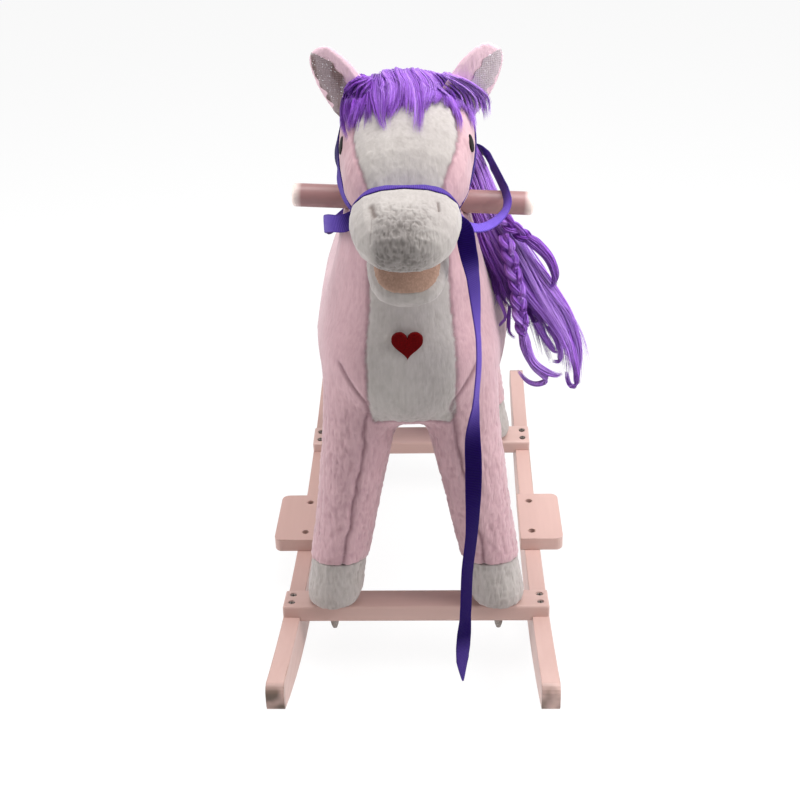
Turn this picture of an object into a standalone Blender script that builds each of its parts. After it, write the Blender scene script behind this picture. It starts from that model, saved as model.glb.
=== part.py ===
"""Plush rocking unicorn: a stuffed pony on a pair of wooden rockers.

Metres, +Z up, floor at z = 0. The pony faces -Y, and left is the rider's
left, +X. The origin is on the floor, midway between the rockers.
"""

import math

import bmesh
import bpy
from mathutils import Matrix, Vector
from mathutils.bvhtree import BVHTree

# Gaps between pieces that touch on the real toy
GAP = 0.0003
SOFT_GAP = 0.0004
FLEX_GAP = 0.0008

# Rockers
ROCKER_SPREAD = 0.290
ROCKER_THICK = 0.0184
ROCKER_REACH = 0.3464
ROCKER_TOP_Z = 0.058
ROCKER_TOP_RADIUS = 1.40
ROCKER_SOLE_RADIUS = 0.86
ROCKER_FLAT = 0.060
ROCKER_NOSE_ROUND = 0.010
ROCKER_HEEL_ROUND = 0.005
WOOD_EDGE = 0.002
TOP_FACETS = 16
SOLE_FACETS = 7

# Crossbars, let down over the rockers by a notch at each end
CROSSBAR_ARC = 0.1825
CROSSBAR_WIDTH = 0.0369
CROSSBAR_THICK = 0.0186
CROSSBAR_NOTCH = 0.0049
CROSSBAR_SCREW_PITCH = 0.0165

# Footrests, screwed down on the rockers
FOOTREST_OUT = 0.172
FOOTREST_IN = 0.1215
FOOTREST_FRONT = -0.0557
FOOTREST_BACK = 0.0428
FOOTREST_THICK = 0.0163
FOOTREST_CORNER = 0.009
FOOTREST_SCREW_INSET = 0.0165
FOOTREST_SCREW_SINK = 0.004

# Wood screws and the leg bolts with their domed heads
SCREW_HEAD = 0.0038
SCREW_SHANK = 0.0021
SCREW_CONE = 0.0024
# how many gaps deeper a hole's point lies than the screw's
SCREW_POINT_GAPS = 1.5
CROSSBAR_SCREW_LENGTH = 0.038
FOOTREST_SCREW_LENGTH = 0.034
SCREW_SINK = 0.0004
BOLT_HEAD = 0.0054
BOLT_HEAD_HEIGHT = 0.0185
BOLT_SHANK = 0.003
BOLT_IN_POST = 0.024
# share of the head's radius and height down its dome
BOLT_DOME = (
    (0.96, 0.30),
    (0.74, 0.72),
    (0.46, 0.95),
    (0.00, 1.00),
)

# Timber inside the plush; the spine board reaches a little past the legs' tops
SPINE_OVERHANG = 0.015
SPINE_WIDTH = 0.120
SPINE_THICK = 0.012
SPINE_Z = 0.328
POST_RADIUS = 0.010
NECK_POST_WIDE = 0.046
NECK_POST_THICK = 0.018
NECK_POST_FOOT_Y = -0.118
NECK_POST_TOP_Y = -0.162

# Handlebar, a dowel through the neck that sits a little askew
HANDLEBAR_RADIUS = 0.011
HANDLEBAR_LENGTH = 0.227
HANDLEBAR_X = 0.0065
HANDLEBAR_Y = -0.160
HANDLEBAR_Z = 0.5345
# how far the neck post runs on above the middle of its bore for the bar
NECK_POST_OVER_BAR = 0.0715
HANDLEBAR_TILT = math.radians(3.2)
HANDLEBAR_ROUND = 0.0035

# Legs and hooves
LEG_FOOT_X = 0.0905
LEG_TOP_X = 0.0475
LEG_TOP_Y = 0.174
LEG_TOP_Z = 0.395
LEG_RADIUS = 0.0385
# share of height from the hoof's seam, of radius across and lengthwise, and how far the
# shoulder bulges outwards as a share of radius
LEG_FORM = (
    (-0.16, 0.82, 0.82, 0.00),
    (0.02, 0.845, 0.845, 0.00),
    (0.38, 0.88, 0.88, 0.00),
    (0.70, 1.08, 1.00, 0.03),
    (0.87, 1.17, 1.02, 0.12),
    (1.00, 1.00, 0.90, 0.24),
)
HOOF_RADIUS = 0.0307
HOOF_HEIGHT = 0.055
# share of height and of radius
HOOF_FORM = (
    (0.00, 0.72),
    (0.12, 1.00),
    (1.00, 0.985),
    (1.35, 0.985),
)
HOOF_SOLE = 0.0005

# Torso
TORSO_FRONT = -0.229
TORSO_LENGTH = 0.470
TORSO_WIDTH = 0.216
TORSO_DEPTH = 0.200
TORSO_Z = 0.355
# share of length, of width, of depth, and lift of the centre as a share of depth
TORSO_FORM = (
    (0.000, 0.38, 0.32, 0.110),
    (0.026, 0.66, 0.56, 0.110),
    (0.100, 0.84, 0.75, 0.105),
    (0.220, 0.93, 0.92, 0.065),
    (0.450, 0.99, 1.00, 0.005),
    (0.800, 1.00, 1.00, 0.015),
    (0.920, 0.88, 0.86, 0.035),
    (0.980, 0.60, 0.58, 0.055),
    (1.000, 0.32, 0.30, 0.065),
)

# Neck
NECK_FOOT_Y = -0.118
NECK_FOOT_Z = 0.370
NECK_HEIGHT = 0.230
NECK_WIDTH = 0.196
NECK_DEPTH = 0.192
# share of height, of width, of depth, and how far the neck leans on as a share of height
NECK_FORM = (
    (0.00, 0.99, 0.96, 0.000),
    (0.17, 0.93, 1.03, -0.026),
    (0.30, 0.85, 1.00, -0.0435),
    (0.50, 0.70, 0.80, -0.0826),
    (0.74, 0.59, 0.62, -0.1217),
    (1.00, 0.48, 0.46, -0.1478),
)

# Head: its axis runs from the poll to the nose, and leans down
HEAD_X = 0.004
HEAD_BACK_Y = -0.1153
HEAD_BACK_Z = 0.631
HEAD_TILT = math.radians(21.6)
HEAD_LENGTH = 0.186
HEAD_WIDTH = 0.124
HEAD_DEPTH = 0.108
HEAD_POWER = 0.78
# share of length, of width, of depth, and lift of the centre as a share of depth
HEAD_FORM = (
    (0.00, 0.32, 0.26, 0.000),
    (0.08, 0.64, 0.46, 0.000),
    (0.24, 0.90, 0.64, 0.000),
    (0.39, 0.99, 0.80, 0.000),
    (0.53, 1.00, 0.94, 0.009),
    (0.67, 0.95, 0.91, 0.037),
    (0.82, 0.82, 0.71, 0.065),
    (0.95, 0.66, 0.50, 0.046),
    (1.00, 0.50, 0.38, 0.037),
)
MUZZLE_START = 0.168
MUZZLE_LENGTH = 0.075
MUZZLE_WIDTH = 0.098
MUZZLE_DEPTH = 0.060
MUZZLE_POWER = 0.82
MUZZLE_FORM = (
    (0.00, 0.87, 0.88, 0.092),
    (0.18, 0.96, 0.97, 0.092),
    (0.48, 1.00, 1.00, 0.092),
    (0.80, 0.84, 0.84, 0.058),
    (1.00, 0.46, 0.46, 0.033),
)

# Lower jaw, its hinge pin, and the cloth that lines the mouth
JAW_HINGE_ALONG = 0.131
JAW_HINGE_DROP = 0.038
JAW_PIN_RADIUS = 0.0025
JAW_PIN_LENGTH = 0.062
JAW_CLOSES = math.radians(5)
JAW_OPENS = math.radians(6)
JAW_GAP = 0.0010
JAW_START = 0.117
JAW_LENGTH = 0.113
JAW_WIDTH = 0.077
JAW_DEPTH = 0.034
JAW_DROP = 0.036
JAW_FORM = (
    (0.00, 0.58, 0.60, 0.000),
    (0.12, 0.76, 0.80, -0.059),
    (0.35, 0.93, 0.95, -0.353),
    (0.62, 1.00, 1.00, -0.559),
    (0.86, 0.88, 0.90, -0.603),
    (1.00, 0.56, 0.56, -0.647),
)
LINING_START = 0.154
LINING_LENGTH = 0.074
LINING_WIDTH = 0.064
LINING_DEPTH = 0.014
LINING_DROP = 0.033
LINING_FORM = (
    (0.00, 0.62, 0.60, 0.000),
    (0.32, 0.94, 0.94, -0.286),
    (0.66, 1.00, 1.00, -0.643),
    (0.88, 0.84, 0.84, -0.857),
    (1.00, 0.48, 0.50, -1.071),
)

# Ears and the cloth inside them
EAR_ALONG = 0.066
EAR_OUT = 0.038
EAR_UP = 0.011
EAR_LENGTH = 0.0765
EAR_WIDTH = 0.050
EAR_THICK = 0.017
EAR_LEAN = math.radians(32)
EAR_TURN = math.radians(28)
EAR_FORM = (
    (0.00, 0.86, 0.95),
    (0.30, 1.00, 1.00),
    (0.66, 0.95, 0.86),
    (0.90, 0.66, 0.58),
    (1.00, 0.34, 0.32),
)
EAR_LINING_START = 0.24
EAR_LINING_END = 0.94
EAR_LINING_INSET = 0.66
# how far the lining's middle lies off the ear's, and its fullness, as shares of thickness
EAR_LINING_RISE = 0.30
EAR_LINING_FULL = 0.20
EAR_LINING_THICK = 0.0016

# Eyes
EYE_ALONG = 0.118
EYE_UP = 0.024
EYE_RADIUS = 0.0105
EYE_DEPTH = 0.0048
EYE_SINK = 0.0020

# Hair: forelock over the brow, mane down the left side, and tail
FORELOCK_ALONG = 0.092
FORELOCK_HALF = 0.044
FORELOCK_THICK = 0.010
FORELOCK_FROM = math.radians(-70)
FORELOCK_TO = math.radians(80)
# how much of the head's depth it lies at, how full its ends are and how fast they fill
FORELOCK_BED = 0.94
FORELOCK_END = 0.08
FORELOCK_FILL = 0.6
MANE_ROOT_X = 0.002
MANE_ROOT_Y = -0.088
MANE_ROOT_Z = 0.560
MANE_DROP = 0.220
MANE_WIDTH = 0.140
MANE_THICK = 0.054
# place from the root as shares of the drop, lean of the section in degrees, share of
# width, of thickness
MANE_FORM = (
    ((0.000, 0.000, 0.000), 20, 0.94, 0.34),
    ((0.136, 0.009, -0.023), 22, 0.96, 0.38),
    ((0.273, -0.009, -0.173), 36, 0.90, 0.50),
    ((0.386, -0.045, -0.373), 48, 0.84, 0.78),
    ((0.495, -0.109, -0.564), 59, 0.74, 0.98),
    ((0.595, -0.186, -0.741), 70, 0.61, 1.00),
    ((0.668, -0.264, -0.900), 74, 0.42, 0.72),
    ((0.705, -0.318, -1.000), 76, 0.18, 0.32),
)
TAIL_ROOT_Z = 0.371
TAIL_LENGTH = 0.228
TAIL_WIDTH = 0.054
# place behind the root and below it as shares of length, and share of width
TAIL_FORM = (
    (-0.026, 0.000, 0.36),
    (0.061, 0.013, 0.46),
    (0.175, 0.132, 0.78),
    (0.237, 0.395, 1.00),
    (0.228, 0.680, 0.92),
    (0.197, 0.921, 0.52),
    (0.184, 1.000, 0.16),
)

# Felt heart on the chest
HEART_WIDTH = 0.0300
HEART_HEIGHT = 0.0300
HEART_THICK = 0.0022
HEART_Z = 0.411
HEART_BEDDING = 0.006
# middle and height of the curve that draws a heart
HEART_MIDDLE = 2.5
HEART_SPAN = 29

# Webbing of the bridle
WEBBING_WIDTH = 0.016
WEBBING_THICK = 0.0022
NOSEBAND_ALONG = 0.180
NOSEBAND_DROP = 0.015
HEADSTALL_RISE = math.radians(10.9)
HEADSTALL_DROP = 0.015
CORD_RADIUS = 0.003

# The rein's and the loose strap's routes, whose first piece stands square on the bridle
REIN_ROUTE = (
    (0.0461, -0.2660, 0.5576),
    (0.0505, -0.2668, 0.5541),
    (0.0590, -0.2660, 0.5480),
    (0.0720, -0.2580, 0.5415),
    (0.0865, -0.2370, 0.5385),
    (0.0960, -0.2080, 0.5385),
    (0.0970, -0.1830, 0.5420),
    (0.0942, -0.1630, 0.5446),
    (0.0885, -0.1420, 0.5505),
    (0.0825, -0.1200, 0.5565),
    (0.0790, -0.0960, 0.5600),
    (0.0710, -0.0660, 0.5610),
    (0.0530, -0.0440, 0.5590),
    (0.0270, -0.0350, 0.5540),
    (0.0000, -0.0350, 0.5440),
    (-0.0290, -0.0480, 0.5240),
    (-0.0570, -0.0780, 0.4990),
    (-0.0745, -0.1180, 0.4945),
    (-0.0775, -0.1600, 0.5105),
    (-0.0740, -0.1980, 0.5245),
    (-0.0705, -0.2300, 0.5370),
    (-0.0630, -0.2560, 0.5470),
    (-0.0520, -0.2655, 0.5500),
    (-0.0425, -0.2668, 0.5541),
    (-0.0381, -0.2660, 0.5576),
)
STRAP_ROUTE = (
    (0.0472, -0.2818, 0.5537),
    (0.0511, -0.2794, 0.5508),
    (0.0540, -0.2800, 0.5450),
    (0.0560, -0.2815, 0.5320),
    (0.0605, -0.2830, 0.5080),
    (0.0640, -0.2830, 0.4700),
    (0.0660, -0.2830, 0.4250),
    (0.0660, -0.2830, 0.3800),
    (0.0640, -0.2830, 0.3480),
    (0.0650, -0.2830, 0.3040),
    (0.0630, -0.2830, 0.2430),
    (0.0580, -0.2830, 0.1930),
    (0.0560, -0.2830, 0.1440),
    (0.0510, -0.2840, 0.0900),
    (0.0500, -0.2840, 0.0560),
)
CORD_STEP = 0.017

# Half the size of a cutter that reaches past whatever it cuts
CUTTER_REACH = 0.2

COLOURS = {
    "painted_wood": ((0.75, 0.56, 0.52, 1.0), 0.42, 0.0),
    "raw_wood": ((0.72, 0.55, 0.36, 1.0), 0.60, 0.0),
    "steel": ((0.55, 0.55, 0.56, 1.0), 0.35, 1.0),
    "pink_plush": ((0.74, 0.50, 0.56, 1.0), 0.95, 0.0),
    "cream_plush": ((0.80, 0.77, 0.72, 1.0), 0.95, 0.0),
    "mouth_cloth": ((0.60, 0.38, 0.28, 1.0), 0.80, 0.0),
    "ear_cloth": ((0.45, 0.30, 0.32, 1.0), 0.45, 0.0),
    "purple_hair": ((0.28, 0.10, 0.50, 1.0), 0.55, 0.0),
    "purple_webbing": ((0.16, 0.09, 0.50, 1.0), 0.70, 0.0),
    "red_felt": ((0.22, 0.004, 0.008, 1.0), 0.95, 0.0),
    "black_plastic": ((0.02, 0.02, 0.025, 1.0), 0.12, 0.0),
}

X_AXIS = Vector((1, 0, 0))
Y_AXIS = Vector((0, 1, 0))
Z_AXIS = Vector((0, 0, 1))
HEAD_AXIS = Vector((0, -math.cos(HEAD_TILT), -math.sin(HEAD_TILT)))
HEAD_UP = Vector((0, -math.sin(HEAD_TILT), math.cos(HEAD_TILT)))
HEAD_BACK = Vector((HEAD_X, HEAD_BACK_Y, HEAD_BACK_Z))
SIDES = (("left", 1), ("right", -1))
ENDS = (("front", -1), ("rear", 1))


# Scene

def clear_scene():
    for obj in list(bpy.data.objects):
        bpy.data.objects.remove(obj, do_unlink=True)
    parts = bpy.data.collections.new("plush_rocking_unicorn")
    cutters = bpy.data.collections.new("cutters")
    for collection in (parts, cutters):
        bpy.context.scene.collection.children.link(collection)
    return parts, cutters


def make_materials():
    made = {}
    for name, (colour, roughness, metallic) in COLOURS.items():
        material = bpy.data.materials.new(name)
        material.use_nodes = True
        shader = material.node_tree.nodes["Principled BSDF"]
        shader.inputs["Base Color"].default_value = colour
        shader.inputs["Roughness"].default_value = roughness
        shader.inputs["Metallic"].default_value = metallic
        material.diffuse_color = colour
        made[name] = material
    return made


PARTS, CUTTERS = clear_scene()
MATERIALS = make_materials()


def add(name, mesh, material=None):
    """An object of the part, or a hidden cutter where no material is given."""
    obj = bpy.data.objects.new(name, mesh)
    if material is None:
        CUTTERS.objects.link(obj)
        obj.hide_render = True
        obj.display_type = "WIRE"
    else:
        PARTS.objects.link(obj)
        mesh.materials.clear()
        mesh.materials.append(MATERIALS[material])
    return obj


def mesh_from(bm, name, smooth=False):
    bmesh.ops.recalc_face_normals(bm, faces=bm.faces)
    mesh = bpy.data.meshes.new(name)
    bm.to_mesh(mesh)
    bm.free()
    if smooth:
        mesh.shade_smooth()
        mesh.set_sharp_from_angle(angle=math.radians(50))
    return mesh


# Shapes

def box(name, low, high, material=None):
    """A box between two opposite corners."""
    low, high = Vector(low), Vector(high)
    bm = bmesh.new()
    bmesh.ops.create_cube(bm, size=1)
    size = high - low
    bmesh.ops.scale(bm, vec=size, verts=bm.verts)
    bmesh.ops.translate(bm, vec=(low + high) / 2, verts=bm.verts)
    return add(name, mesh_from(bm, name), material)


def dowel(name, start, end, radius, material=None, sides=24):
    """A round bar from one point to another."""
    start, end = Vector(start), Vector(end)
    along = end - start
    bm = bmesh.new()
    bmesh.ops.create_cone(
        bm, cap_ends=True, segments=sides, radius1=radius, radius2=radius,
        depth=along.length,
    )
    obj = add(name, mesh_from(bm, name, smooth=True), material)
    turn = Z_AXIS.rotation_difference(along).to_matrix().to_4x4()
    obj.matrix_world = Matrix.Translation((start + end) / 2) @ turn
    return obj


def turned(name, profile, place, material=None, steps=12):
    """A profile of (radius, height), top first, turned about its own Z."""
    bm = bmesh.new()
    points = [bm.verts.new((radius, 0, height)) for radius, height in profile]
    for first, second in zip(points, points[1:]):
        bm.edges.new((first, second))
    mesh = bpy.data.meshes.new(name)
    bm.to_mesh(mesh)
    bm.free()
    obj = add(name, mesh, material)
    screw = obj.modifiers.new("turn", "SCREW")
    screw.steps = steps
    screw.render_steps = steps
    screw.use_merge_vertices = True
    screw.merge_threshold = 0.0001
    obj.matrix_world = place
    return obj


def rounded(corners, steps=5):
    """An outline of (x, y, radius) with each corner of some radius rounded."""
    points = []
    count = len(corners)
    for i, (x, y, radius) in enumerate(corners):
        here = Vector((x, y))
        if radius == 0:
            points.append(here)
            continue
        back = (Vector(corners[i - 1][:2]) - here).normalized()
        ahead = (Vector(corners[(i + 1) % count][:2]) - here).normalized()
        half = back.angle(ahead) / 2
        centre = here + (back + ahead).normalized() * radius / math.sin(half)
        first = here + back * radius / math.tan(half) - centre
        last = here + ahead * radius / math.tan(half) - centre
        sweep = first.angle_signed(last)
        for step in range(steps + 1):
            turn = Matrix.Rotation(-sweep * step / steps, 2)
            points.append(centre + turn @ first)
    return points


def plate(name, outline, thickness, place, material=None):
    """A flat outline with a thickness, its middle in the place's XY plane."""
    curve = bpy.data.curves.new(name, "CURVE")
    curve.dimensions = "2D"
    curve.fill_mode = "BOTH"
    curve.extrude = thickness / 2
    spline = curve.splines.new("POLY")
    spline.points.add(len(outline) - 1)
    for point, (x, y) in zip(spline.points, outline):
        point.co = (x, y, 0, 1)
    spline.use_cyclic_u = True
    drawn = bpy.data.objects.new(name + "_outline", curve)
    bpy.context.scene.collection.objects.link(drawn)
    graph = bpy.context.evaluated_depsgraph_get()
    mesh = bpy.data.meshes.new_from_object(drawn.evaluated_get(graph))
    bpy.data.objects.remove(drawn, do_unlink=True)
    bm = bmesh.new()
    bm.from_mesh(mesh)
    bpy.data.meshes.remove(mesh)
    bmesh.ops.remove_doubles(bm, verts=bm.verts, dist=1e-6)
    obj = add(name, mesh_from(bm, name), material)
    obj.matrix_world = place
    return obj


def rounder(value, power):
    return math.copysign(abs(value) ** power, value)


def soft_form(name, rings, sides, material=None, power=1.0, levels=1):
    """A closed loft through rings of (centre, across, up), then smoothed.

    Smoothing draws a ring of few sides in, so each is widened by that much.
    A power under 1 makes the rings squarer than an ellipse.
    """
    swell = 1 / (0.75 + 0.25 * math.cos(2 * math.pi / sides))
    bm = bmesh.new()
    loops = []
    for centre, across, up in rings:
        loop = []
        for i in range(sides):
            angle = 2 * math.pi * (i + 0.5) / sides
            reach = across * rounder(math.cos(angle), power)
            reach += up * rounder(math.sin(angle), power)
            loop.append(bm.verts.new(centre + reach * swell))
        loops.append(loop)
    for first, second in zip(loops, loops[1:]):
        for i in range(sides):
            j = (i + 1) % sides
            bm.faces.new((first[i], first[j], second[j], second[i]))
    bm.faces.new(loops[0])
    bm.faces.new(loops[-1])
    obj = add(name, mesh_from(bm, name, smooth=True), material)
    smoothed(obj, levels)
    return obj


def smoothed(obj, levels=1, by=0.0):
    """Subdivides a cage, fixes its triangles, then grows it if asked to."""
    smooth = obj.modifiers.new("smooth", "SUBSURF")
    smooth.levels = levels
    smooth.render_levels = levels
    obj.modifiers.new("triangles", "TRIANGULATE")
    if by:
        swell(obj, by)


def swell(obj, by):
    grow = obj.modifiers.new("grow", "DISPLACE")
    grow.mid_level = 0
    grow.strength = by


# Cutting

def cut(obj, cutter, operation="DIFFERENCE"):
    modifier = obj.modifiers.new(cutter.name, "BOOLEAN")
    modifier.operation = operation
    modifier.solver = "EXACT"
    modifier.object = cutter


def grown(obj, by):
    """A hidden copy of a form before its own cuts, larger all round."""
    name = f"{obj.name}_grown_{round(by * 1e6)}"
    found = bpy.data.objects.get(name)
    if found:
        return found
    copy = add(name, obj.data.copy())
    copy.matrix_world = obj.matrix_world
    if "smooth" in obj.modifiers:
        smoothed(copy, obj.modifiers["smooth"].levels)
    swell(copy, by)
    return copy


def clear_of(obj, others, by=SOFT_GAP):
    """Cuts every other form, grown by a gap, out of this one."""
    for other in others:
        cut(obj, grown(other, by))


def rounded_edges(obj, width, segments=2):
    bevel = obj.modifiers.new("edges", "BEVEL")
    bevel.width = width
    bevel.segments = segments
    bevel.limit_method = "ANGLE"
    bevel.angle_limit = math.radians(40)


def surface_point(obj, origin, direction):
    """Where a line from the origin first meets an object."""
    bpy.context.view_layer.update()
    graph = bpy.context.evaluated_depsgraph_get()
    tree = BVHTree.FromObject(obj, graph)
    return tree.ray_cast(Vector(origin), Vector(direction))[0]


# Places

def arc_place(arc):
    """The frame on a rocker's top edge at a length of arc from its middle."""
    angle = arc / ROCKER_TOP_RADIUS
    height = ROCKER_TOP_Z + ROCKER_TOP_RADIUS * (1 - math.cos(angle))
    foot = Matrix.Translation((0, ROCKER_TOP_RADIUS * math.sin(angle), height))
    return foot @ Matrix.Rotation(angle, 4, "X")


def top_z(y):
    """Height of a rocker's top edge."""
    return ROCKER_TOP_Z + ROCKER_TOP_RADIUS - math.sqrt(ROCKER_TOP_RADIUS**2 - y * y)


def head_point(along, up=0.0, out=0.0):
    return HEAD_BACK + HEAD_AXIS * along + HEAD_UP * up + X_AXIS * out


ROCKER_X = (ROCKER_SPREAD - ROCKER_THICK) / 2
BAR_TOP = CROSSBAR_THICK - CROSSBAR_NOTCH


# Rockers, crossbars and footrests

def rocker_outline():
    """Counter-clockwise outline in (Y, Z)."""
    flat = ROCKER_FLAT / 2
    centre = math.sqrt(ROCKER_SOLE_RADIUS**2 - flat**2)
    start = math.asin(flat / ROCKER_SOLE_RADIUS)
    end = math.asin(ROCKER_REACH / ROCKER_SOLE_RADIUS)
    sole = []
    for i in range(SOLE_FACETS + 1):
        angle = start + (end - start) * i / SOLE_FACETS
        y = ROCKER_SOLE_RADIUS * math.sin(angle)
        sole.append((y, centre - ROCKER_SOLE_RADIUS * math.cos(angle), 0))
    sole[-1] = (*sole[-1][:2], ROCKER_HEEL_ROUND)
    top = []
    reach = math.asin(ROCKER_REACH / ROCKER_TOP_RADIUS)
    for i in range(TOP_FACETS + 1):
        angle = reach * (1 - 2 * i / TOP_FACETS)
        y = ROCKER_TOP_RADIUS * math.sin(angle)
        at_end = i in (0, TOP_FACETS)
        top.append((y, top_z(y), ROCKER_NOSE_ROUND if at_end else 0))
    left = [(-y, z, radius) for y, z, radius in reversed(sole)]
    return rounded(left + sole + top)


def make_rockers():
    turn = Matrix(((0, 0, 1, 0), (1, 0, 0, 0), (0, 1, 0, 0), (0, 0, 0, 1)))
    made = {}
    for side, sign in SIDES:
        place = Matrix.Translation((sign * ROCKER_X, 0, 0)) @ turn
        rocker = plate(
            f"rocker_{side}", rocker_outline(), ROCKER_THICK, place, "painted_wood"
        )
        rounded_edges(rocker, WOOD_EDGE)
        made[side] = rocker
    return made


def make_crossbars():
    made = {}
    half = ROCKER_SPREAD / 2
    inner = half - ROCKER_THICK - GAP
    for end, sign in ENDS:
        bar = box(
            f"{end}_crossbar",
            (-half, -CROSSBAR_WIDTH / 2, -CROSSBAR_NOTCH),
            (half, CROSSBAR_WIDTH / 2, BAR_TOP),
            "painted_wood",
        )
        bar.matrix_world = arc_place(sign * CROSSBAR_ARC)
        rounded_edges(bar, WOOD_EDGE)
        for side, hand in SIDES:
            notch = box(
                f"{end}_notch_{side}",
                (min(hand * inner, hand * half * 1.1), -CROSSBAR_WIDTH, -CROSSBAR_WIDTH),
                (max(hand * inner, hand * half * 1.1), CROSSBAR_WIDTH, GAP),
            )
            notch.matrix_world = bar.matrix_world
            cut(bar, notch)
        made[end] = bar
    return made


def make_footrests():
    made = {}
    under = top_z(max(-FOOTREST_FRONT, FOOTREST_BACK)) + GAP
    for side, sign in SIDES:
        corners = [
            (FOOTREST_IN, FOOTREST_FRONT, 0),
            (FOOTREST_OUT, FOOTREST_FRONT, FOOTREST_CORNER),
            (FOOTREST_OUT, FOOTREST_BACK, FOOTREST_CORNER),
            (FOOTREST_IN, FOOTREST_BACK, 0),
        ]
        if sign < 0:
            corners = [(-x, y, radius) for x, y, radius in reversed(corners)]
        place = Matrix.Translation((0, 0, under + FOOTREST_THICK / 2))
        board = plate(
            f"footrest_{side}", rounded(corners), FOOTREST_THICK, place, "painted_wood"
        )
        rounded_edges(board, WOOD_EDGE)
        made[side] = board
    return made


# Fasteners

def screw_profile(length, grow=0.0, well=0.0):
    """A countersunk wood screw, its head's top at height 0."""
    head = SCREW_HEAD + grow
    shank = SCREW_SHANK + grow
    tip = length - 2 * SCREW_SHANK + grow
    return [
        (0, well),
        (head, well),
        (head, -grow),
        (shank, -SCREW_CONE - grow),
        (shank, -tip),
        (0, -length - SCREW_POINT_GAPS * grow),
    ]


def add_screw(name, place, length, through, well):
    turned(name, screw_profile(length), place, "steel")
    hole = turned(f"{name}_hole", screw_profile(length, GAP, well), place)
    for piece in through:
        cut(piece, hole)


def make_crossbar_screws(rockers, crossbars):
    for end, sign in ENDS:
        for side, hand in SIDES:
            for number, step in ((1, -0.5), (2, 0.5)):
                seat = Matrix.Translation(
                    (hand * ROCKER_X, step * CROSSBAR_SCREW_PITCH, BAR_TOP - SCREW_SINK)
                )
                add_screw(
                    f"crossbar_screw_{end}_{side}_{number}",
                    arc_place(sign * CROSSBAR_ARC) @ seat,
                    CROSSBAR_SCREW_LENGTH,
                    (rockers[side], crossbars[end]),
                    WOOD_EDGE,
                )


def make_footrest_screws(rockers, footrests):
    top = top_z(max(-FOOTREST_FRONT, FOOTREST_BACK)) + GAP + FOOTREST_THICK
    for side, hand in SIDES:
        for end, y in (
            ("front", FOOTREST_FRONT + FOOTREST_SCREW_INSET),
            ("rear", FOOTREST_BACK - FOOTREST_SCREW_INSET),
        ):
            place = Matrix.Translation((hand * ROCKER_X, y, top - FOOTREST_SCREW_SINK))
            add_screw(
                f"footrest_screw_{side}_{end}",
                place,
                FOOTREST_SCREW_LENGTH,
                (rockers[side], footrests[side]),
                2 * FOOTREST_SCREW_SINK,
            )


def bolt_profile(grow=0.0):
    """A leg bolt: domed head under the crossbar, shank up into the post."""
    top = CROSSBAR_THICK + BOLT_IN_POST + grow
    return [
        (0, top),
        (BOLT_SHANK + grow, top),
        (BOLT_SHANK + grow, -GAP),
        (BOLT_HEAD, -GAP),
        *((BOLT_HEAD * wide, -BOLT_HEAD_HEIGHT * low) for wide, low in BOLT_DOME),
    ]


def make_leg_bolts(crossbars, posts):
    for end, sign in ENDS:
        for side, hand in SIDES:
            under = Matrix.Translation((hand * LEG_FOOT_X, 0, -CROSSBAR_NOTCH))
            place = arc_place(sign * CROSSBAR_ARC) @ under
            turned(f"leg_bolt_{end}_{side}", bolt_profile(), place, "steel")
            hole = turned(f"leg_bolt_{end}_{side}_hole", bolt_profile(GAP), place)
            cut(crossbars[end], hole)
            cut(posts[end, side], hole)


# Timber inside

def make_spine_board():
    half = SPINE_WIDTH / 2
    reach = LEG_TOP_Y + SPINE_OVERHANG
    board = box(
        "spine_board",
        (-half, -reach, SPINE_Z),
        (half, reach, SPINE_Z + SPINE_THICK),
        "raw_wood",
    )
    rounded_edges(board, WOOD_EDGE, 1)
    return board


def leg_foot(sign, hand):
    """Middle of a hoof's seat on the crossbar."""
    return arc_place(sign * CROSSBAR_ARC) @ Vector((hand * LEG_FOOT_X, 0, BAR_TOP + GAP))


def leg_top(sign, hand):
    return Vector((hand * LEG_TOP_X, sign * LEG_TOP_Y, SPINE_Z))


def make_leg_posts(crossbars, spine):
    """Dowels from the crossbars to the spine board, squared off by both."""
    made = {}
    for end, sign in ENDS:
        for side, hand in SIDES:
            foot, top = leg_foot(sign, hand), leg_top(sign, hand)
            run = (top - foot).normalized() * POST_RADIUS / 2
            post = dowel(
                f"leg_post_{end}_{side}", foot - run, top + run, POST_RADIUS, "raw_wood", 16
            )
            clear_of(post, (crossbars[end], spine), GAP)
            made[end, side] = post
    return made


def make_neck_post(spine):
    """A plank from the spine board up into the head."""
    foot = Vector((0, NECK_POST_FOOT_Y, SPINE_Z + SPINE_THICK / 2))
    top = Vector((0, NECK_POST_TOP_Y, HANDLEBAR_Z + NECK_POST_OVER_BAR))
    length = (top - foot).length
    post = box(
        "neck_post",
        (-NECK_POST_THICK / 2, -NECK_POST_WIDE / 2, 0),
        (NECK_POST_THICK / 2, NECK_POST_WIDE / 2, length),
        "raw_wood",
    )
    turn = Z_AXIS.rotation_difference(top - foot).to_matrix().to_4x4()
    post.matrix_world = Matrix.Translation(foot) @ turn
    rounded_edges(post, WOOD_EDGE, 1)
    clear_of(post, (spine,), GAP)
    return post


def make_handlebar(neck_post):
    half = Vector((math.cos(HANDLEBAR_TILT), 0, -math.sin(HANDLEBAR_TILT)))
    half *= HANDLEBAR_LENGTH / 2
    centre = Vector((HANDLEBAR_X, HANDLEBAR_Y, HANDLEBAR_Z))
    bar = dowel("handlebar", centre - half, centre + half, HANDLEBAR_RADIUS, "painted_wood")
    rounded_edges(bar, HANDLEBAR_ROUND, 2)
    bore = dowel("handlebar_bore", centre - half, centre + half, HANDLEBAR_RADIUS + GAP)
    cut(neck_post, bore)
    return bar, bore


# Plush forms

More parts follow.
